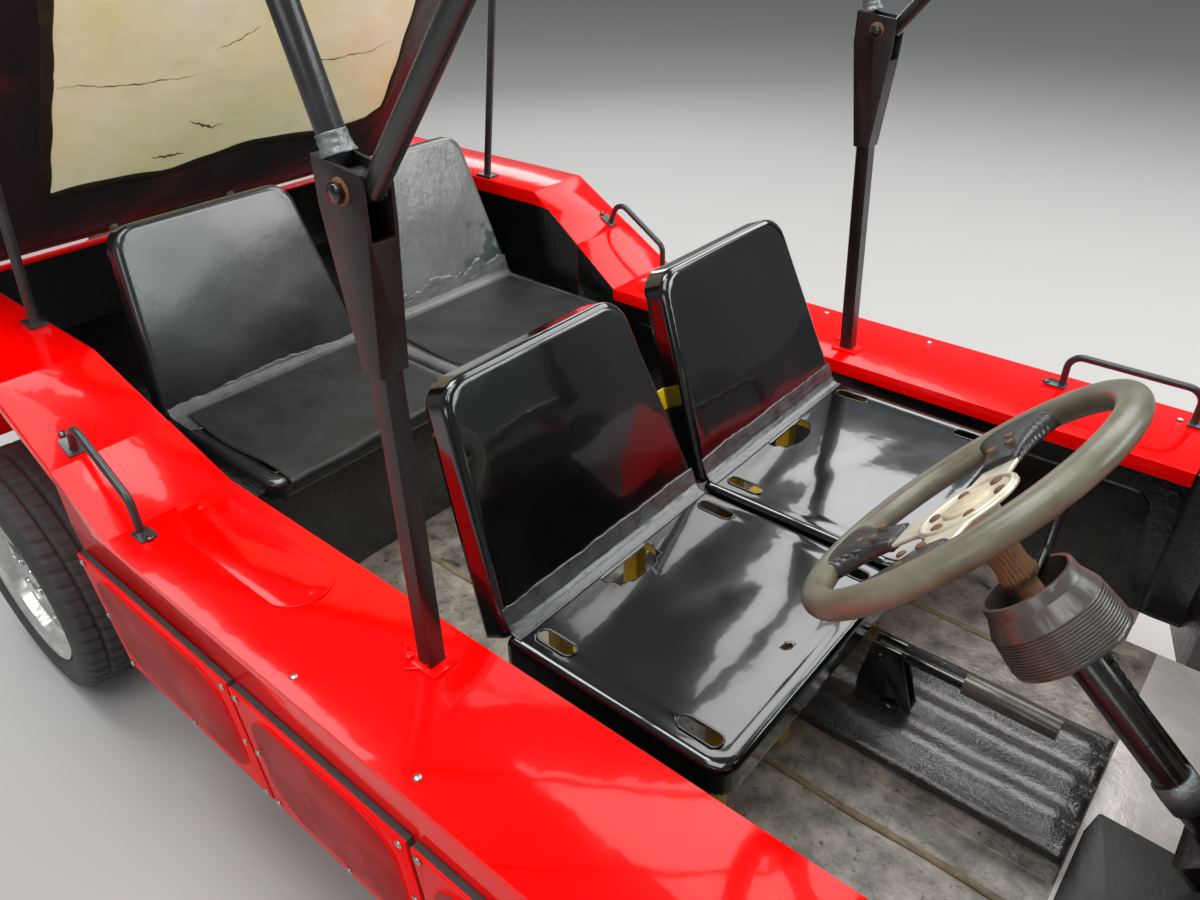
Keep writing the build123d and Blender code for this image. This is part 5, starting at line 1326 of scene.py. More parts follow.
def keep_evaluated(piece: bpy.types.Object) -> None:
    """Replace a piece's mesh with the one that its modifiers give, and drop them."""
    graph = bpy.context.evaluated_depsgraph_get()
    made = bpy.data.meshes.new_from_object(piece.evaluated_get(graph))
    old = piece.data
    piece.modifiers.clear()
    piece.data = made
    bpy.data.meshes.remove(old)


@dataclass(frozen=True)
class SeatMat:
    """A loose rubber mat on a rear seat: a sheet laid on the base, its front edge turned down over it."""

    side: int
    rear: float = -722.0
    front: float = -414.0
    seat_y: float = 212.0
    half: float = 186.0
    top: float = 624.8
    drop: float = 11.0
    thick: float = 1.6
    bend: float = 7.0

    def build(self) -> None:
        """Make the mat: a grid whose rows are rucked by crossed sines, and whose front rolls down.

        Past the roll's start a point goes forward by the sine and down by one less the cosine of its
        run over the radius.
        """
        radius = self.bend
        length = self.front - self.rear + self.drop
        u = np.linspace(-1, 1, 60)
        s = np.linspace(0, length, 70)
        a, b = np.meshgrid(u, s)
        phase = 1.3 * self.side
        straight = length - self.drop - radius
        turn = np.clip((b - straight) / radius, 0, math.pi / 2)
        down = np.maximum(b - straight - radius * math.pi / 2, 0)
        x = self.rear + np.minimum(b, straight) + radius * np.sin(turn)
        z = self.top - radius * (1 - np.cos(turn)) - down
        ruck = (1.6 * np.sin(4.1 * a + 0.021 * b + phase) * np.sin(0.019 * b + phase)
                + 1.1 * np.sin(9 * a - 0.03 * b + phase)) * np.clip(b / 60, 0, 1) + 1.8
        z = z + ruck * np.cos(turn)
        x = x - 5 * np.clip(np.cos(2.3 * a + phase), 0, 1) * b / length
        y = self.side * self.seat_y + a * (self.half - 8 * np.sin(0.011 * b + phase) ** 2)
        name = dict(SIDES)[self.side]
        made = thicken(grid_piece(f"rear_mat_{name}", (x, y, z), MAT_RUBBER), self.thick, 0.0)
        settle(made, "body", "rear_seat_mats")


@dataclass(frozen=True)
class Cabin:
    """The seats, their frames and mats, the floor, and what stands on it."""

    seats: tuple[Seat, ...] = (
        Seat("seat_front_right", (72.0, -212.0, 618.0), 22.5, SEAT_ENAMEL, SEAM_TAPE, 44.0, 1),
        Seat("seat_front_left", (72.0, 212.0, 618.0), 22.5, SEAT_ENAMEL, SEAM_TAPE, 44.0, 2),
        Seat("seat_rear_right", (-745.0, -212.0, 622.0), 17.0, REAR_SEAT_ENAMEL, PEELING_FILM, 30.0, 3,
             (60.0, 16.0), 0.3),
        Seat("seat_rear_left", (-745.0, 212.0, 622.0), 17.0, FADED_SEAT_ENAMEL, PEELING_FILM, 30.0, 4,
             (70.0, 46.0), 0.3),
    )
    floor_top: float = 357.0
    hump_top: float = 391.0
    hump_front: float = 685.0
    ribs: tuple[float, ...] = (-58.0, 10.0, 78.0)
    seams: tuple[float, ...] = (-180.0, 250.0)
    seam_ends: tuple[float, float] = (-440.0, 690.0)
    mat: Pairs = (
        (692.0, -330.0), (842.0, -330.0), (842.0, 16.0), (700.0, 20.0), (692.0, -20.0))
    brake_grip: float = 509.0
    hump_middle: float = 10.0
    hump_half: float = 96.0
    hump_bend: float = 108.0
    hump_rear: float = -57.0
    hump_sides: tuple[float, float] = (-107.0, 127.0)
    rib_half: float = 27.0
    rib_height: float = 11.6
    rib_fade: float = 25.0
    seam_profile: Pairs = ((-1.5, 7), (1.5, 5), (3.4, 2), (3.4, -2), (1.5, -5), (-1.5, -7))

    def floor(self) -> None:
        """Dress the floor: worn paint, gloss on the hump's round ribs, and bare sheet ahead of it whose pale
        colour holds painted light.
        """
        ribs = Second(RIB_PAINT, lambda at, up: (at[:, 2] > self.hump_top - 3) & (up[:, 2] > 0.2)
                      & (np.abs(at[:, 1] - self.hump_middle) < self.hump_half))
        # Upward faces ahead of the hump: bare sheet, its near-white colour partly painted light
        bare = Second(BARE_SHEET_AND_PAINTED_LIGHT, lambda at, up: (at[:, 0] > self.hump_front + 1) & (up[:, 2] > 0.5),
                      (((self.hump_front + 2, 0, 0), (1, 0, 0)),))
        dressed("floor_pan", FLOOR_PAINT, 4.0, (ribs, bare), 24.0)
        dressed("rear_deck", CABIN_SEAL, 2.0)
        dressed("luggage_floor", CABIN_SEAL, 1.5)

    def hump_sheet(self) -> None:
        """Lay the hump's top: three soft ribs, each a bell curve across it, over slow dents.

        The ribs fade over a short way at each end, and the sheet's sides turn down by a square law.
        """
        x, y = np.linspace(self.hump_rear, self.hump_front - 1, 110), np.linspace(*self.hump_sides, 70)
        a, b = np.meshgrid(x, y)
        ribs = sum(np.exp(-(((b - middle) / self.rib_half) ** 2)) for middle in self.ribs)
        ends = np.clip((a - x[0]) / self.rib_fade, 0, 1) * np.clip((x[-1] - a) / self.rib_fade, 0, 1)
        dents = 0.9 * np.sin(a / 61 + b / 47) * np.sin(b / 31 - a / 90)
        dents = dents + 0.4 * np.sin(a / 17 + 2 * np.sin(b / 19))
        side = np.maximum(np.abs(b - self.hump_middle) - self.hump_bend, 0)
        raised = self.rib_height * ribs * (0.25 + 0.75 * ends)
        z = self.hump_top + 0.9 + raised + dents * ends - 0.12 * side**2
        made = thicken(grid_piece("hump_ribs", (a, b, z), RIB_PAINT), 1.2, 0.0)
        settle(made, "body")

    def floor_seams(self) -> None:
        """Make the folded seams along the floor: a low half-round bead that wavers a little."""
        x = np.linspace(*self.seam_ends, 90)
        for number, y in enumerate(self.seams, 1):
            height = self.floor_top + 0.3 + 0.5 * np.sin(x / 23)
            path = np.column_stack([x, y + 1.4 * np.sin(x / 41), height])
            made = tube(f"floor_seam_{number}", path, np.array(self.seam_profile), UP, SEAM_PAINT)
            settle(made, "body")

    def foot_mat(self) -> None:
        """Make the driver's foot mat: a thin rubber slab with rounded corners, its rear edge lifted."""
        outline = rounded_loop(self.mat, 5.0)
        lift = 1.5 * np.sin(outline[:, 1] / 60)
        low = self.floor_top + 0.4
        rings = [np.column_stack([outline, low + h + lift * k]) for h, k in ((0, 0), (3.2, 0.5))]
        inner = outline + (outline.mean(0) - outline) * 0.015
        rings.append(np.column_stack([inner, self.floor_top + 4.4 + lift * 0.5]))
        settle(loft("driver_foot_mat", np.stack(rings), FLOOR_MAT), "body")

    def build(self) -> None:
        """Make the cabin."""
        self.floor()
        self.hump_sheet()
        self.floor_seams()
        self.foot_mat()
        for seat in self.seats:
            seat.build()
        for side, _ in SIDES:
            SeatMat(side).build()
        dressed("seat_frames", YELLOW_PAINT, 2.0)
        grip = Second(BOSS_PLASTIC, lambda at, up: at[:, 0] > self.brake_grip)
        dressed("handbrake", BLACK_PAINT, 1.2, (grip,))
        dressed("gear_lever", CHASSIS_PAINT, 0.8)
        dressed("pedals", CHASSIS_PAINT, 0.8)
        dressed("speedometer", DIAL, 1.0)


def rounded_loop(corners: Sequence[Sequence[float]], bend: float, steps: int = 7) -> Array:
    """Round a closed outline's corners: the open path's rule, carried past the first corner again."""
    flat = [(*c, 0.0) for c in corners]
    middle = tuple((np.array(flat[0]) + flat[-1]) / 2)
    return rounded_path([middle, *flat, middle], bend, steps)[:-1, :2]


# Body


@dataclass(frozen=True)
class BodyShell:
    """The red panels, the black inside of the cabin, and what is screwed to them."""

    pontoon_top: float = 637.0
    lip: float = 25.0
    cabin_half: float = 456.5
    arch_wall: float = 499.0
    scuttle_foot: float = 790.0
    inner_band: float = 14.0
    arch_foot: float = 760.0
    tail_lip: tuple[float, float] = (-1322.0, 745.0)
    firewall: float = 905.0
    wing_inner: float = 400.0
    wing_rear: float = 760.0
    wing_forward: float = 86.0
    wall_end: tuple[float, float] = (639.0, 706.0)
    wall_height: tuple[float, float] = (356.0, 634.0)
    handle_forward: float = 38.0
    ramp_slope: tuple[float, float, float] = (0.51, 0.0, 0.86)
    front_handles: float = 300.0
    top_screws: Pairs = (
        (155.0, 628.0), (397.0, 612.0), (-60.0, 628.0), (585.0, 612.0))
    cover_screws: Pairs = ((-442.0, 524.0), (-163.0, 530.0))
    handle_screws: Triples = (
        (376.0, 605.0, 640.0), (630.0, 605.0, 640.0), (-430.0, 606.0, 640.0), (-629.0, 606.0, 731.0))

    def drawn_forward(self, at: Array) -> Array:
        """Draw the wings' inner box forward, so that the cabin's wall runs on as in the photograph."""
        box = (np.abs(at[:, 1:2]) < self.wing_inner) & (at[:, :1] < self.wing_rear)
        return at + (self.wing_forward, 0, 0) * box

    def near_handle(self, at: Array) -> Array:
        """Draw the near front grab handle forward to where the photograph has it."""
        return at + (self.handle_forward, 0, 0) * ((at[:, :1] > self.front_handles) & (at[:, 1:2] < 0))

    def panels(self) -> None:
        """Dress the panels: gloss red outside, underseal on the faces that look into the cabin."""
        low, wall = self.pontoon_top - self.lip + 1, self.cabin_half + self.inner_band
        inner = Second(CABIN_SEAL, lambda at, up: (np.abs(at[:, 1]) < wall) & (at[:, 2] < low))
        dressed("pontoons", RED_ENAMEL, 3.0, (inner,))
        cuts = tuple(((0, side * self.arch_wall, self.arch_foot), (0, 0, 1)) for side in (-1, 1))
        arch = Second(CABIN_SEAL, lambda at, up: (np.abs(at[:, 1]) < self.arch_wall + 1)
                      & (-np.sign(at[:, 1]) * up[:, 1] > 0.2) & (at[:, 2] < self.arch_foot), cuts)
        dressed("rear_arches", RED_ENAMEL, 2.5, (arch,))
        behind, lip = self.tail_lip
        tail = Second(CABIN_SEAL, lambda at, up: (up[:, 0] > 0.5) & (at[:, 2] < lip) & (at[:, 0] > behind))
        dressed("tail_panel", RED_ENAMEL, 2.0, (tail,))
        scuttle = Second(RED_ENAMEL, lambda at, up: (at[:, 2] > self.scuttle_foot) & ((up[:, 2] > 0.5)
                         | (up[:, 0] > 0.5) | (np.abs(up[:, 1]) > 0.5)))
        dressed("bulkhead", CABIN_SEAL, 2.0, (scuttle,))
        cut = (((self.firewall, 0, 0), (1, 0, 0)),)
        wing = Second(CABIN_SEAL, lambda at, up: (at[:, 0] < self.firewall) & ((up[:, 0] < -0.8)
                      | (np.abs(at[:, 1]) < self.wing_inner) & (np.abs(up[:, 1]) > 0.5)), cut)
        dressed("front_wings", RED_ENAMEL, 2.0, (wing,), shape=self.drawn_forward)
        self.wall_ends()
        for node in ("front_panel", "bonnet"):
            dressed(node, RED_ENAMEL, 2.0)

    def wall_ends(self) -> None:
        """Close the cabin walls' front ends with an undersealed plate that ripples by crossed sines."""
        a, b = np.meshgrid(np.linspace(*self.wall_end, 9), np.linspace(*self.wall_height, 30))
        for side, name in SIDES:
            y = side * (self.cabin_half + 8 + 0.5 * np.sin(a / 9 + b / 14))
            made = thicken(grid_piece(f"wall_end_{name}", (a, y, b), CABIN_SEAL), 2.0, 0.0)
            settle(made, "body")

    def covers(self) -> None:
        """Dress the pontoon tops' covers, and put a flat screw near each one's two ends."""
        dressed("pontoon_covers", RED_ENAMEL, 0.7)
        spots = both_sides([(x, y, self.pontoon_top + 2.2) for x, y in self.cover_screws])
        settle(Head.COVER_SCREW.fit("cover_screws", spots, UP, RED_ENAMEL), "body")

    def screws(self) -> None:
        """Put round-headed screws along the pontoons' tops and in the grab handles' feet."""
        spots = both_sides([(x, y, self.pontoon_top) for x, y in self.top_screws])
        settle(Head.TOP_SCREW.fit("top_screws", spots, UP, BRIGHT_STEEL), "body")
        level, ramp = both_sides(self.handle_screws[:3]), both_sides(self.handle_screws[3:])
        for name, feet, way in (("handle_screws", self.near_handle(level), UP),
                                ("ramp_handle_screws", ramp, self.ramp_slope)):
            settle(Head.HANDLE_SCREW.fit(name, feet, way, BLACK_PAINT), "body")

    def build(self) -> None:
        """Make the body."""
        self.panels()
        self.covers()
        self.screws()
        dressed("grab_handles", HOOD_PAINT, 0.8, shape=self.near_handle)
        for node in ("front_bumper", "rear_bumpers"):
            dressed(node, BLACK_PAINT, 1.0)


@dataclass(frozen=True)
class SidePlates:
    """Three plates a side on their dark packing: a bright rim, a dull pressed field and pan screws."""

    foot: tuple[float, float] = (635.3, 327.0)
    lean: float = 3.01
    seal: float = 9.0
    plate: float = 3.0
    field_rise: float = 2.5
    plates: Pairs = ((-585.0, -184.0), (-176.0, 158.0), (166.0, 636.0))
    height: float = 240.3
    screw_inset: float = 11.0

    def frame_of(self, side: int) -> tuple[Array, Array, Array]:
        """Give a side's wall: its foot's point, the way up it and the way out of it."""
        a = math.radians(self.lean)
        up = np.array([0, side * math.sin(a), math.cos(a)])
        out = np.array([0, side * math.cos(a), -math.sin(a)])
        return np.array([0, side * self.foot[0], self.foot[1]]), up, out

    def depth(self, at: Array) -> Array:
        """Measure how far points stand off the wall, on either side."""
        a = math.radians(self.lean)
        return (np.abs(at[:, 1]) - self.foot[0]) * math.cos(a) - (at[:, 2] - self.foot[1]) * math.sin(a)

    def build(self) -> None:
        """Dress the plates and screw them on: at each corner, at the middle of the lower long edge and at the
        middle of each short edge.
        """
        walls = [self.frame_of(side) for side, _ in SIDES]
        cuts = tuple((foot + out * self.seal, out) for foot, _, out in walls)
        seal = Second(DARK_SEAL, lambda at, up: self.depth(at) < self.seal - 0.3, cuts)
        face = self.seal + self.plate + self.field_rise
        field = Second(RED_SATIN, lambda at, up: (self.depth(at) > face - 0.4) & (np.abs(up[:, 1]) > 0.9))
        dressed("side_panels", RED_RIM, 1.0, (seal, field), 24.0)
        for (_, name), (foot, up, out) in zip(SIDES, walls):
            spots = []
            for x0, x1 in self.plates:
                a, b, inset = x0 + self.screw_inset, x1 - self.screw_inset, self.screw_inset
                rows = [(a, inset), (b, inset), ((a + b) / 2, inset), (a, self.height - inset),
                        (b, self.height - inset), (a, self.height / 2), (b, self.height / 2)]
                spots += [foot + (x, 0, 0) + up * h + out * (self.seal + self.plate) for x, h in rows]
            made = Head.PLATE_SCREW.fit(f"plate_screws_{name}", spots, out, BRIGHT_STEEL)
            settle(made, "body")


# Hood


@dataclass(frozen=True)
class HoodFrame:
    """The two posts and their hoops, the rear bow, and the bolts, plates and foil on them."""

    bolt: tuple[float, float, float] = (30.0, 500.0, 1186.0)
    cheek: float = 17.0
    hoop_foot: tuple[float, float, float] = (11.0, 500.0, 1212.0)
    hoop_lean: float = 20.0
    post_foot: tuple[float, float, float] = (46.0, 512.0, 637.0)
    plate_half: float = 21.0
    plate_wall: float = 2.6
    head_top: float = 1213.0
    head_rear: float = -40.0
    foot_top: float = 642.0
    rust_ring: Pairs = ((0, 0), (12.4, 0), (11.8, 0.8), (0, 1.2))
    ring_wall: float = 1.6
    nut_place: tuple[float, float, float] = (-24.0, 14.0, 4.0)
    foil_radius: float = 13.9
    foil_length: float = 19.0

    def foot_plates(self) -> None:
        """Make the red folded plate at each post's foot: a diamond whose two outer corners turn up.

        Its height is 3 mm, plus a rise with the square of the distance past two thirds of the way to
        a corner, towards the front and the rear.
        """
        u = np.linspace(-1, 1, 25)
        a, b = np.meshgrid(u, u)
        for side, name in SIDES:
            x = (a - b) * self.plate_half / 2
            y = (a + b) * self.plate_half / 2
            past = np.maximum(np.abs(x) / self.plate_half - 0.55, 0)
            rise = 3.4 + 60 * past**2 + 0.5 * np.sin(a * 4) * np.cos(b * 3)
            foot_x, foot_y, foot_z = self.post_foot
            grids = (x + foot_x - 14, side * (y + foot_y + 8), foot_z + rise)
            made = grid_piece(f"post_foot_plate_{name}", grids, RED_ENAMEL)
            settle(thicken(made, self.plate_wall, 1.0), "body")

    def bolts(self) -> None:
        """Put a bolt through each post's head, a nut on its foot plate, and rust rings under them."""
        x, y, z = self.bolt
        for side, name in SIDES:
            for way in (-1, 1):
                face = side * y + way * (self.cheek + 0.3)
                label = f"{name}_{'outer' if way == side else 'inner'}"
                on_cheek, on_ring = [(x, face, z)], [(x, face + way * self.ring_wall, z)]
                rust = turned(f"head_rust_ring_{label}", on_cheek, (0, way, 0), self.rust_ring, RUSTY_STEEL, 28)
                settle(rust, "body")
                bolt = Head.POST_BOLT.fit(f"head_bolt_{label}", on_ring, (0, way, 0), BLACK_PAINT)
                settle(bolt, "body")
        feet = both_sides([np.array(self.post_foot) + self.nut_place])
        settle(Head.FOOT_NUT.fit("foot_plate_nuts", feet, UP, RED_ENAMEL), "body")

    def foil(self) -> None:
        """Wrap the rear hoop's feet: a crumpled sleeve whose radius wavers with height and angle."""
        lean = math.radians(self.hoop_lean)
        way = np.array([-math.sin(lean), 0, math.cos(lean)])
        h = np.linspace(0, 1, 14)[:, None]
        a = round_angles(40)
        radius = self.foil_radius + 0.8 * np.sin(9 * h + 3 * np.sin(a)[None]) * np.sin(4 * a + 7 * h)
        radius = radius + 3 * (1 - h) ** 3
        first, second = np.array([0, 1, 0]), np.cross(way, (0, 1, 0))
        for side, name in SIDES:
            foot = np.array(self.hoop_foot) * (1, side, 1)
            spine = foot + (h * self.foil_length - 2) * way
            around = np.cos(a)[:, None] * first + np.sin(a)[:, None] * second
            rows = spine[:, None] + radius[..., None] * around
            settle(loft(f"hoop_foil_{name}", rows, SILVER_FOIL), "body")

    def build(self) -> None:
        """Make the hood's frame."""
        post = Second(POST_PAINT, lambda at, up: (at[:, 2] < self.head_top) & (at[:, 0] > self.head_rear))
        foot = Second(RED_ENAMEL, lambda at, up: at[:, 2] < self.foot_top)
        dressed("main_hoop", HOOD_PAINT, 1.2, (post, foot))
        for node in ("front_hoop", "rear_bow"):
            dressed(node, HOOD_PAINT, 1.2)
        self.foot_plates()
        self.bolts()
        self.foil()


@dataclass(frozen=True)
class Curtain:
    """The rear curtain: coated cloth hung from the bow to the tail, with a clear window sewn in.

    A place on it is y across the car and s down it from the bow.
    """

    top: tuple[float, float] = (-807.0, 1417.0)
    foot: tuple[float, float] = (-1315.0, 763.6)
    half: float = 596.0
    foot_half: float = 562.0
    straight: float = 460.0
    sag: float = 20.0
    window: tuple[float, float, float, float] = (-332.0, 440.0, 55.0, 646.0)
    corner: float = 15.0
    binding: tuple[float, float] = (2.4, 11.0)
    sleeve_ahead: float = 16.0
    sleeve_half: float = 432.0
    sleeve_radius: float = 10.2
    hem_up: float = 12.0
    stud: Pairs = ((0, 0), (10, 0), (10, 1.6), (7.4, 2.0), (6.6, 3.6), (3.8, 5.2), (0, 5.6))
    studs: tuple[float, ...] = (-464.0, -191.0, 82.0, 355.0)
    step: float = 12.0
    creases: tuple[tuple[tuple[float, float], ...], ...] = (
        ((-316, 381), (-206, 401), (-55, 401)), ((-32, 351), (9, 338), (56, 311)),
        ((113, 405), (237, 426), (349, 428), (404, 408)), ((-67, 517), (-8, 557), (16, 552)),
        ((-137, 597), (-64, 611)))
    crease_half: tuple[float, ...] = (1.2, 1.1, 1.4, 2.4, 3.0)

    def normal(self) -> Array:
        """Give the way out of the curtain, up and to the rear."""
        way = self.down()
        return np.array([way[2], 0.0, -way[0]]) * np.sign(way[2]) * -1

    def down(self) -> Array:
        """Give the way down the curtain."""
        run = np.array([self.foot[0] - self.top[0], 0.0, self.foot[1] - self.top[1]])
        return run / np.linalg.norm(run)

    def length(self) -> float:
        """Measure it from the bow to the tail."""
        return math.hypot(self.foot[0] - self.top[0], self.foot[1] - self.top[1])

    def surface(self, y: Array, s: Array, lift: float = 0.0) -> Array:
        """Place points on the hung cloth.

        The cloth sags by half a sine down its length, with slack waves that grow towards the bottom and
        towards both sides, and lies flat at its two ends.

        Args:
            y: Places across.
            s: Places down from the bow.
            lift: How far off the cloth, towards the rear.

        Returns:
            The points, one row each.
        """
        t = np.clip(s / self.length(), 0, 1)
        held = np.sin(math.pi * t)
        side = np.abs(y / self.foot_half) ** 3
        slack = 5.5 * np.sin(y / 61 + 1.2 * t) * t + 9 * side * np.sin(5.5 * t + 0.8)
        ripple = 1.6 * np.sin(y / 23 + 4 * t) * t**3 + 4 * np.sin((y + s) / 97)
        depth = -self.sag * held + (slack + ripple) * np.minimum(held * 2.2, 1)
        start = np.array([self.top[0], 0.0, self.top[1]])
        rows = start + s[..., None] * self.down() + (depth + 3 + lift)[..., None] * self.normal()
        rows[..., 1] += y
        return rows.reshape(-1, 3)

    def window_outline(self) -> Array:
        """Outline the window in y and s, with rounded corners and a wavy lower edge."""
        y0, y1, s0, s1 = self.window
        corners = ((y0, s0), (y1, s0), (y1 + 6, s1 - 30), (y1 - 30, s1), (y0, s1 + 14))
        loop = rounded_loop(corners, self.corner, 9)
        loop = np.concatenate([loop, loop[:1]])
        flat = resample(np.column_stack([loop, np.zeros(len(loop))]), 8.0)[:-1, :2]
        low = np.clip((flat[:, 1] - s0) / (s1 - s0), 0, 1) ** 6
        notch = 10 * np.exp(-(((flat[:, 0] + 190) / 90) ** 2))
        flat[:, 1] += low * (7 * np.sin(flat[:, 0] / 62 + 2.4) - notch)
        return flat

    def in_window(self, y: Array, s: Array) -> Array:
        """Say which places lie inside the window, by how many times their level line meets its outline."""
        outline = self.window_outline()
        after = np.roll(outline, -1, 0)
        crosses = (outline[None, :, 1] > s[:, None]) != (after[None, :, 1] > s[:, None])
        rise = after[:, 1] - outline[:, 1]
        share = (s[:, None] - outline[None, :, 1]) / np.where(rise == 0, 1e-9, rise)[None]
        at = outline[None, :, 0] + share * (after - outline)[None, :, 0]
        return ((crosses & (y[:, None] < at)).sum(1) % 2).astype(bool)

    def window_folds(self) -> list[bpy.types.Object]:
        """Make the brown cracks in the window: thin beads that wander a little and taper to both ends."""
        made = []
        for number, (corners, half) in enumerate(zip(self.creases, self.crease_half), 1):
            flat = resample(np.column_stack([np.array(corners, float), np.zeros(len(corners))]), 4.0)
            t = np.linspace(0, 1, len(flat))
            s = flat[:, 1] + 1.5 * np.sin(t * 23 + number) + 0.8 * np.sin(t * 71)
            sizes = (0.15 + np.sin(math.pi * t)) * (1 + 0.35 * np.sin(t * 37 + number))
            path = self.surface(flat[:, 0], s, -0.8)
            profile = ring(1.0, 8) * (0.5, half)
            made.append(tube(f"window_crease_{number}", path, profile, self.normal(), CREASE_DIRT, sizes))
        return made

    def build(self) -> None:
        """Make the curtain, its binding, its sleeve on the bow, its hem and its studs."""
        y = np.arange(-self.half, self.half + 1, self.step)
        s = np.linspace(0, self.length(), int(self.length() / self.step))
        a, b = np.meshgrid(y, s)
        edge = np.clip((np.abs(a) - self.straight) / (self.half - self.straight), 0, 1)
        a = a * (1 - edge * (1 - self.foot_half / self.half) * b / self.length())
        faces = grid_faces(len(s), len(y))
        cloth = mesh_piece("rear_curtain", self.surface(a, b), faces, CURTAIN_VINYL)
        cloth.data.materials.append(WINDOW_VINYL.build())
        flat = np.stack([a.ravel(), b.ravel()], -1)
        middles = flat[faces].mean(1)
        cloth.data.polygons.foreach_set("material_index", self.in_window(*middles.T).astype(int))
        thicken(cloth, 1.4, 0.0)
        soft = cloth.modifiers.new("smooth_cloth", "SUBSURF")
        soft.levels = soft.render_levels = 1
        settle(cloth, "body", "hood_curtain")
        outline = self.window_outline()
        path = self.surface(outline[:, 0], outline[:, 1], -0.2)
        band = ring(1.0, 14) * self.binding
        sizes = 1 + 0.12 * np.sin(np.arange(len(path)) / 2.3)
        binding = tube("window_binding", path, band, self.normal(), WINDOW_BINDING, sizes, True)
        x, z = self.top[0] + self.sleeve_ahead, self.top[1]
        sleeve_y = np.linspace(-self.sleeve_half, self.sleeve_half, 120)
        spine = np.column_stack([np.full(120, x), sleeve_y, np.full(120, z)])
        ruck = 1 + 0.03 * np.sin(sleeve_y / 9)
        sleeve = tube("bow_sleeve", spine, ring(self.sleeve_radius, 20), (1, 0, 0), CURTAIN_VINYL, ruck)
        hem_s = self.length() - self.hem_up
        hem_y = np.linspace(-self.foot_half + 2, self.foot_half - 2, 160)
        hem = tube("curtain_hem", self.surface(hem_y, np.full(160, hem_s), -0.6), ring(1.0, 12) * (1.4, 10.0),
                   self.normal(), CURTAIN_VINYL)
        at = np.array(self.studs)
        places = self.surface(at, np.full(len(at), hem_s - 8), -3.2)
        studs = turned("curtain_studs", places, -self.normal(), self.stud, STUD_METAL, 20)
        sewn = [binding, sleeve, hem, studs, *self.window_folds()]
        for piece in sewn:
            settle(piece, "body")


# Steering


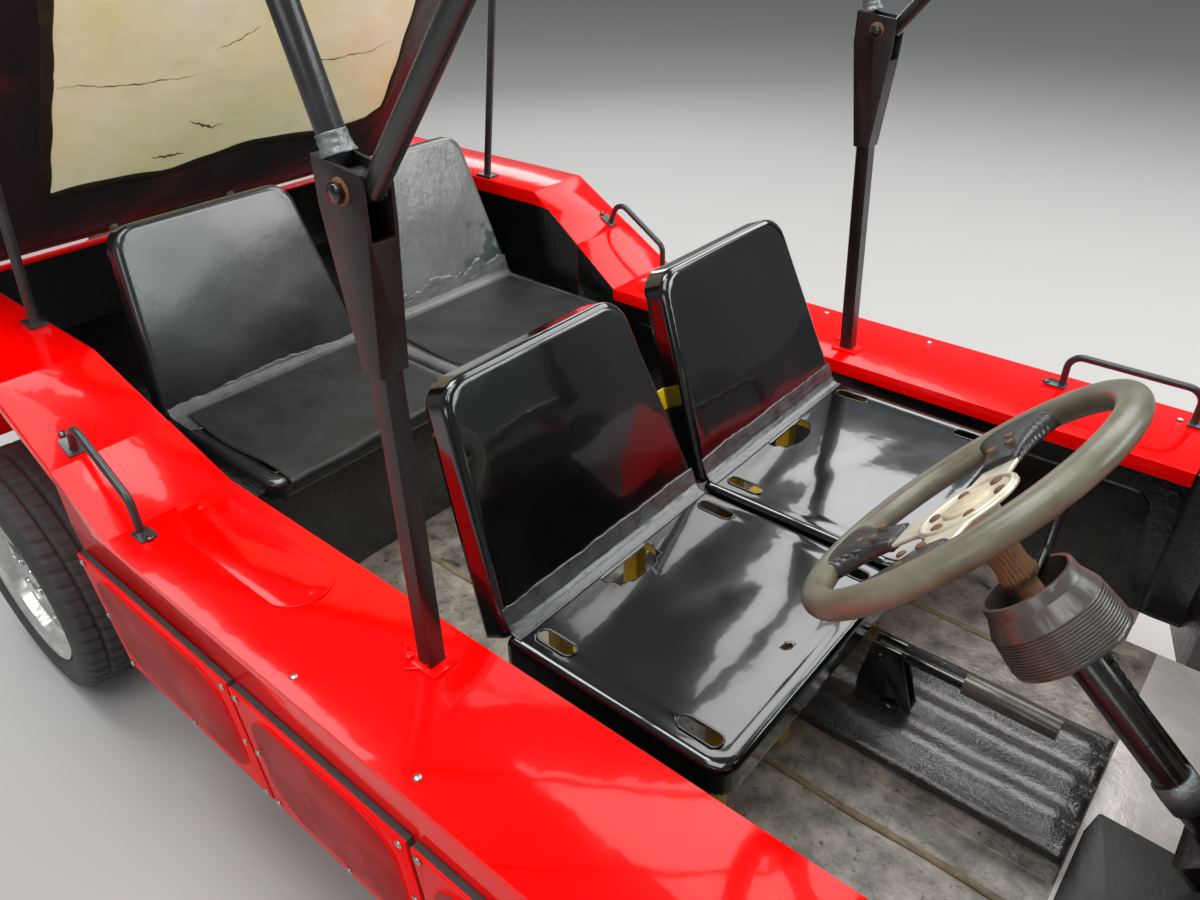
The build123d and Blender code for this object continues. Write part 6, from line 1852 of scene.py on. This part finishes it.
@dataclass(frozen=True)
class Steering:
    """The steering wheel, the boss under it, the column and its levers.

    The wheel's own frame has X to the car's left, Y down the wheel's face and Z towards the driver.
    """

    hub: tuple[float, float, float] = (498.0, -212.0, 907.0)
    tilt: float = 41.0
    rim: float = 165.0
    grip: float = 15.0
    face: float = -6.0
    plate: float = 4.0
    centre: float = 52.0
    arms: tuple[float, ...] = (0.0, 90.0, 180.0)
    arm_tip: float = 100.0
    pad_start: float = 88.0
    bolt_circle: float = 38.0
    plate_bead: Pairs = ((45, -1), (51, -1), (50.5, 2.2), (48.5, 3), (46, 2.4))
    centre_disc: Pairs = ((0, -1), (25, -1), (25, 2), (23, 3.2), (0, 3.6))
    collar: Pairs = ((0, -9), (23, -9), (24, -12), (24, -33), (19, -40), (0, -40))
    shaft: Pairs = ((0, -88), (12, -88), (12, -164), (0, -164))
    clamp: Pairs = ((15.8, -316), (19.6, -316), (20.4, -330), (19.6, -346), (15.8, -346))
    pad_screws: Triples = ((106, -11, 6), (106, 11, 6), (132, 0, 6))
    cable_run: Triples = ((30, -2, -158), (31, 2, -240), (24, 4, -318))
    stalk_run: Triples = ((14, 4, -104), (44, -14, -86), (62, -44, -58), (66, -74, -42))
    stalk_bend: float = 22.0
    boss_reach: tuple[float, float] = (-170.0, -95.0)
    boss_sizes: tuple[float, float] = (0.9, 0.81)
    boss_length: float = 0.88
    column_radius: float = 21.0
    column_size: float = 0.86

    def axes(self) -> tuple[Array, Array, Array]:
        """Give the wheel's three directions."""
        a = math.radians(self.tilt)
        up = np.array([-math.cos(a), 0, math.sin(a)])
        across = np.array([0.0, 1.0, 0.0])
        return across, np.cross(up, across), up

    def place(self, local: Array) -> Array:
        """Move points from the wheel's frame to the car's."""
        x, y, z = self.axes()
        flat = np.asarray(local, float).reshape(-1, 3)
        return np.array(self.hub) + flat[:, :1] * x + flat[:, 1:2] * y + flat[:, 2:] * z

    def turned_part(self, name: str, profile: Sequence[Sequence[float]], finish: Finish, sides: int = 64,
                    loop: bool = False) -> bpy.types.Object:
        """Turn a profile round the column."""
        return turned(name, [self.hub], self.axes()[2], profile, finish, sides, loop)

    def rim_piece(self) -> bpy.types.Object:
        """Make the rim: a ring whose section is slightly flattened towards the driver."""
        a = round_angles(28)
        profile = np.stack([self.rim + self.grip * np.cos(a), (self.grip - 0.8) * np.sin(a)], -1)
        return self.turned_part("steering_rim", profile, GRIP_FOAM, 144, True)

    def plate_piece(self) -> bpy.types.Object:
        """Make the plate: a disc with three tapering arms.

        Its edge's radius at an angle is a smooth maximum of the disc's radius and, for each arm, the
        lesser of where the ray leaves the arm's tapering side and its tip.
        """
        angle = round_angles(360)
        total = np.exp(np.full(360, self.centre) / 4)
        for arm in self.arms:
            off = np.abs((angle - math.radians(arm) + math.pi) % (2 * math.pi) - math.pi)
            side = 28 / (np.sin(off) + 0.08 * np.cos(off) + 1e-6)
            tip = self.arm_tip / np.maximum(np.cos(off), 0.05)
            reach = np.where(np.cos(off) > 0.05, np.minimum(side, tip), 0)
            total += np.exp(reach / 4)
        edge = 4 * np.log(total)
        share = np.array([0.12, 0.4, 0.7, 0.95, 1.0])[:, None]
        x, y = np.cos(angle) * edge * share, np.sin(angle) * edge * share
        rows = [np.stack([x, y, np.full(x.shape, z)], -1) for z in (self.face, self.face - self.plate)]
        points = np.concatenate([rows[0], rows[1][::-1]])
        return loft("steering_plate", self.place(points).reshape(points.shape), PLATE_ALLOY)

    def pad(self, arm: float, name: str) -> bpy.types.Object:
        """Make a moulded pad on an arm: rounded sections that widen and thicken towards the rim.

        A section at distance x has half width 22 + 36 t^2.4 and half thickness 6.5 + 6.5 t, where t
        runs from 0 at its start to 1 at the rim, and its corners follow a fourth-power ellipse.
        """
        t = np.linspace(0, 1, 16)
        x = self.pad_start - 4 + (self.rim - 2 - self.pad_start + 4) * t
        wide, thick = 22 + 36 * t**2.4, 6.5 + 6.5 * t
        mid = self.face - 1 + (2 - self.face - 1) * t
        a = round_angles(32)
        c, s = (np.sign(k) * np.abs(k) ** 0.5 for k in (np.cos(a), np.sin(a)))
        bend = -0.5 * (wide[:, None] * c) ** 2 / self.rim * t[:, None]
        local = np.stack([x[:, None] + bend, wide[:, None] * c, mid[:, None] + thick[:, None] * s], -1)
        return loft(name, self.place(spun(local, arm)).reshape(local.shape), PAD_PLASTIC)

    def wheel(self) -> None:
        """Make the wheel's pieces: they all turn with the steering body."""
        bead = np.array(self.plate_bead) + (0, self.face)
        disc = np.array(self.centre_disc) + (0, self.face)
        made = [self.plate_piece(), self.turned_part("plate_ring", bead, PLATE_ALLOY, 72, True),
                self.turned_part("centre_disc", disc, BEIGE_PLASTIC)]
        q = np.radians(np.arange(6) * 60 + 30)
        spots = self.place(np.stack([np.cos(q) * self.bolt_circle, np.sin(q) * self.bolt_circle,
                                     np.full(6, self.face)], -1))
        up = self.axes()[2]
        made.append(Head.WHEEL_BOLT.fit("plate_bolts", spots, up, RUSTY_STEEL))
        screws = []
        for number, arm in enumerate(self.arms, 1):
            made.append(self.pad(arm, f"spoke_pad_{number}"))
            screws.append(spun(np.array(self.pad_screws), arm))
        made.append(Head.PAD_SCREW.fit("pad_screws", self.place(np.array(screws)), up, RUSTY_STEEL))
        made.append(self.turned_part("hub_collar", self.collar, BEIGE_PLASTIC, 40))
        made.append(self.splines())
        made.append(self.turned_part("steering_shaft", self.shaft, RUSTY_STEEL, 24))
        for piece in made:
            settle(piece, "steering")
        settle(self.rim_piece(), "steering", "steering_wheel")

    def splines(self) -> bpy.types.Object:
        """Make the rusty splined hub: a waisted barrel whose radius ripples 24 times round."""
        a = round_angles(144)
        z = np.array([-38, -42, -50, -62, -74, -84, -90.0])
        waist = np.array([17, 20, 20.5, 16.5, 16, 18.5, 18.0])
        radius = waist[:, None] + 0.9 * np.sin(24 * a)[None]
        height = np.broadcast_to(z[:, None], radius.shape)
        rows = np.stack([radius * np.cos(a), radius * np.sin(a), height], -1)
        return loft("splined_hub", self.place(rows).reshape(rows.shape), RUSTY_STEEL)

    def about_axis(self, at: Array) -> tuple[Array, Array]:
        """Split points into how far up the column's axis from the hub they lie, and their way out from it."""
        local = at - np.array(self.hub)
        height = (local @ self.axes()[2])[:, None]
        return height, local - height * self.axes()[2]

    def slimmer_boss(self, at: Array) -> Array:
        """Draw the boss in round its axis, its mouth more than its foot, and shorten it from its mouth."""
        height, off = self.about_axis(at)
        mouth = self.boss_reach[1]
        size = np.interp(height, self.boss_reach, self.boss_sizes)
        shorter = mouth + (height - mouth) * self.boss_length
        return np.array(self.hub) + off * size + shorter * self.axes()[2]

    def slimmer_column(self, at: Array) -> Array:
        """Draw the column's tube in round its axis, and leave what stands off it."""
        height, off = self.about_axis(at)
        tube_part = np.linalg.norm(off, axis=1, keepdims=True) < self.column_radius
        return np.array(self.hub) + off * np.where(tube_part, self.column_size, 1.0) + height * self.axes()[2]

    def cable(self) -> None:
        """Make the wrapped cable beside the column: its section swells and shrinks along its winding."""
        path = resample(self.place(self.cable_run), 1.5)
        sizes = 1 + 0.07 * np.sin(np.arange(len(path)) * 0.9)
        made = tube("column_cable", path, ring(6.2, 14), (0, 1, 0), PAD_PLASTIC, sizes)
        settle(made, "body")

    def column(self) -> None:
        """Dress the boss and the column, and add its stalk and its clamp band."""
        dressed("steering_boss", BOSS_PLASTIC, 0.6, (), 20.0, self.slimmer_boss)
        dressed("steering_column", COLUMN_PAINT, 1.0, shape=self.slimmer_column)
        self.cable()
        path = resample(rounded_path(self.place(self.stalk_run), self.stalk_bend), 4.0)
        grow = np.interp(np.linspace(0, 1, len(path)), [0, 0.5, 0.8, 1], [0.8, 0.9, 1.5, 1.3])
        plane = np.cross(path[len(path) // 2] - path[0], path[-1] - path[len(path) // 2])
        stalk = tube("column_stalk", path, ring(5.6, 16, 0.7), plane, BLACK_PAINT, grow)
        settle(stalk, "body")
        band = self.turned_part("column_clamp_band", self.clamp, SILVER_FOIL, 40, True)
        settle(band, "body")

    def build(self) -> None:
        """Make the steering."""
        self.wheel()
        self.column()


# Wheels


@dataclass(frozen=True)
class RoadWheel:
    """A tyre with its tread and a cast rim with its nuts and cap, on a car's corner or on the tail."""

    corner: str
    middle: tuple[float, float, float]
    side: int
    body: str
    standing: bool = False
    radius: float = 251.0
    half: float = 80.0
    tread_half: float = 60.0
    grooves: tuple[float, ...] = (-34.0, 0.0, 34.0)
    groove_half: float = 3.4
    depth: float = 6.5
    pitches: int = 52
    cells: int = 6
    nut_circle: float = 34.0
    hub_face: float = 46.0
    outer: Pairs = ((52, 154), (60, 167.5), (68, 178), (77, 198), (80, 218), (76, 236), (68, 245), (64, 248))
    lip: Pairs = (
        (150, 57), (160, 62), (170, 68.5), (176, 73), (178, 72), (177, 69), (171, 64.5), (160, 58.5), (150, 54))

    def place(self, rows: Array) -> Array:
        """Move points from the wheel's frame, whose Y is the axle, to the car's."""
        flat = rows.reshape(-1, 3)
        if self.standing:
            flat = np.column_stack([-flat[:, 1], flat[:, 0], flat[:, 2]])
        return flat + np.array(self.middle)

    def section(self) -> Array:
        """Give the tyre's section as width and radius: beads, bulging sidewalls, shoulders and tread."""
        tread = np.linspace(self.tread_half, -self.tread_half, 41)
        crown = self.radius - 1.8 * (tread / self.tread_half) ** 2
        left = np.array(self.outer)
        right = left[::-1] * (-1, 1)
        return np.concatenate([left, np.stack([tread, crown], -1), right])

    def tyre(self) -> bpy.types.Object:
        """Make the tyre: its section turned in steps, with the grooves cut as lower radii.

        Round the tyre each pitch has as many steps as the cells, the first of which is a cross groove
        that slants with the distance from the middle. The bands' cross grooves are half a pitch apart.
        """
        section = self.section()
        w, r = section[:, 0], section[:, 1]
        steps = self.pitches * self.cells
        i = np.arange(steps)[:, None]
        in_tread = np.clip((73 - np.abs(w)) / 9, 0, 1)
        slant = 0.055 * (np.abs(w) / self.tread_half) * (np.abs(w) <= 76)
        angle = 2 * math.pi * i / steps + slant[None]
        band = np.digitize(w, sorted(self.grooves))
        cell = (i + 3 * band[None]) % self.cells
        cross = cell == 0
        lengthwise = np.min(np.abs(w[:, None] - np.array(self.grooves)[None]), axis=1) < self.groove_half
        drop = self.depth * np.maximum(cross * 0.8, lengthwise[None] * 1.0) * in_tread[None]
        drop = drop * (np.abs(w) <= 74)[None]
        side_rings = 0.7 * np.cos((r - 200) / 3.2) * ((r > 182) & (r < 232))
        radius = r[None] - drop
        width = w[None] + np.sign(w)[None] * side_rings[None] + 0 * angle
        rows = np.stack([radius * np.cos(angle), width, radius * np.sin(angle)], -1)
        faces = grid_faces(steps, len(w), True, False)
        inner = np.stack([rows[:, 0], rows[:, -1]], 1)
        every = self.place(np.concatenate([rows.reshape(-1, 3), inner.reshape(-1, 3)]))
        bead = grid_faces(steps, 2, True, False) + rows.shape[0] * rows.shape[1]
        made = mesh_piece(f"tyre_{self.corner}_treaded", every, np.concatenate([faces, bead]), TYRE_RUBBER)
        return face_outwards(made)

    def build(self) -> None:
        """Make the tyre and the rim."""
        tyre_node = "spare_tyre" if self.standing else f"tyre_{self.corner}"
        rim_node = "spare_rim" if self.standing else f"rim_{self.corner}"
        settle(self.tyre(), self.body, tyre_node)
        dressed(rim_node, WHEEL_ALLOY, 1.6)
        a = np.radians(np.arange(4) * 90 + 45)
        face = self.side * self.hub_face
        nuts = np.stack([np.cos(a) * self.nut_circle, np.full(4, face), np.sin(a) * self.nut_circle], -1)
        way = (-self.side, 0, 0) if self.standing else (0, self.side, 0)
        middle, hub = self.place(np.zeros((1, 3))), self.place(np.array([[0, face, 0]]))
        for made in (
            turned(f"rim_lip_{self.corner}", middle, way, self.lip, WHEEL_ALLOY, 96, True),
            Head.WHEEL_NUT.fit(f"wheel_nuts_{self.corner}", self.place(nuts), way, CHROME),
            Head.HUB_CAP.fit(f"hub_cap_{self.corner}", hub, way, WHEEL_ALLOY),
        ):
            settle(made, self.body)


WHEELS: tuple[RoadWheel, ...] = (
    RoadWheel("front_left", (977.0, 602.0, 251.0), 1, "wheel_front_left"),
    RoadWheel("front_right", (977.0, -602.0, 251.0), -1, "wheel_front_right"),
    RoadWheel("rear_left", (-1055.0, 587.0, 251.0), 1, "wheel_rear_left"),
    RoadWheel("rear_right", (-1055.0, -587.0, 251.0), -1, "wheel_rear_right"),
    RoadWheel("spare", (-1417.0, 0.0, 545.0), 1, "body", True),
)


# Lamps, mirrors and screen


@dataclass(frozen=True)
class Fittings:
    """The lamps with their rings, the mirrors, the windscreen and what hangs under the car."""

    nose: float = 1395.3
    headlamp: tuple[float, float, float, float] = (295.0, 672.0, 89.0, 34.0)
    indicator: tuple[float, float, float, float] = (520.0, 600.0, 34.0, 26.0)
    tail: float = -1325.3
    tail_lamps: tuple[tuple[float, float, float, float], ...] = (
        (572.0, 670.0, 42.0, 24.0), (572.0, 570.0, 30.0, 20.0))
    screen_foot: tuple[float, float] = (835.0, 863.0)
    screen_lean: float = 12.0
    mirror_middle: tuple[float, float] = (590.3, 342.0)
    mirror_size: tuple[float, float] = (100.0, 65.0)
    mirror_corner: float = 11.0
    pane_off: float = 11.0

    def lamp_rings(self) -> None:
        """Put a bright ring round each lamp's lens."""
        a = round_angles(12)
        for name, start, way, lamps in (
            ("headlamp_rings", self.nose, 1, (self.headlamp,)),
            ("indicator_rings", self.nose, 1, (self.indicator,)),
            ("tail_lamp_rings", self.tail, -1, self.tail_lamps),
        ):
            for number, (y, z, radius, depth) in enumerate(lamps, 1):
                wide = 0.07 * radius
                section = np.stack([0.93 * radius + wide * np.cos(a), depth - 2 + 0.8 * wide * np.sin(a)], -1)
                spots = both_sides([(start, y, z)])
                made = turned(f"{name}_{number}", spots, (way, 0, 0), section, CHROME, 56, True)
                settle(made, "body")

    def mirror_faces(self) -> None:
        """Lay a silvered pane on each mirror's rear face, in the leaning screen's plane."""
        a = math.radians(self.screen_lean)
        up = np.array([-math.sin(a), 0, math.cos(a)])
        rear = np.array([-math.cos(a), 0, -math.sin(a)])
        y, rise = self.mirror_middle
        w, h = self.mirror_size
        corners = ((-w / 2, -h / 2), (w / 2, -h / 2), (w / 2, h / 2), (-w / 2, h / 2))
        outline = rounded_loop(corners, self.mirror_corner)
        for side, name in SIDES:
            foot = np.array([self.screen_foot[0], side * y, self.screen_foot[1]])
            middle = foot + up * rise + rear * self.pane_off
            rings = [middle + outline[:, :1] * (0, 1, 0) + outline[:, 1:] * up + rear * d for d in (0.0, 1.2)]
            settle(loft(f"mirror_pane_{name}", np.stack(rings), MIRROR), "screen")

    def build(self) -> None:
        """Make the fittings."""
        for node, finish in (
            ("windscreen_glass", SCREEN_GLASS), ("mirrors", BLACK_PAINT), ("headlamps", LAMP_GLASS),
            ("tail_lamps", RED_LENS), ("indicators", AMBER_LENS), ("knuckle_left", CHASSIS_PAINT),
            ("knuckle_right", CHASSIS_PAINT),
        ):
            painted(node, finish)
        self.lamp_rings()
        self.mirror_faces()
        dressed("windscreen_frame", BLACK_PAINT, 2.0)
        for node in ("front_suspension", "rear_suspension"):
            dressed(node, CHASSIS_PAINT, 2.0)
        dressed("exhaust", RUSTY_STEEL, 1.0)
        dressed("engine_block", IRON, 8.0)


def main() -> None:
    """Build the studio and the car's sub-assemblies in order."""
    logging.basicConfig(level=logging.INFO, format="%(name)s: %(message)s")
    Studio().build()
    BodyShell().build()
    SidePlates().build()
    Cabin().build()
    HoodFrame().build()
    Curtain().build()
    Steering().build()
    for wheel in WHEELS:
        wheel.build()
    Fittings().build()


if __name__ == "__main__":
    main()
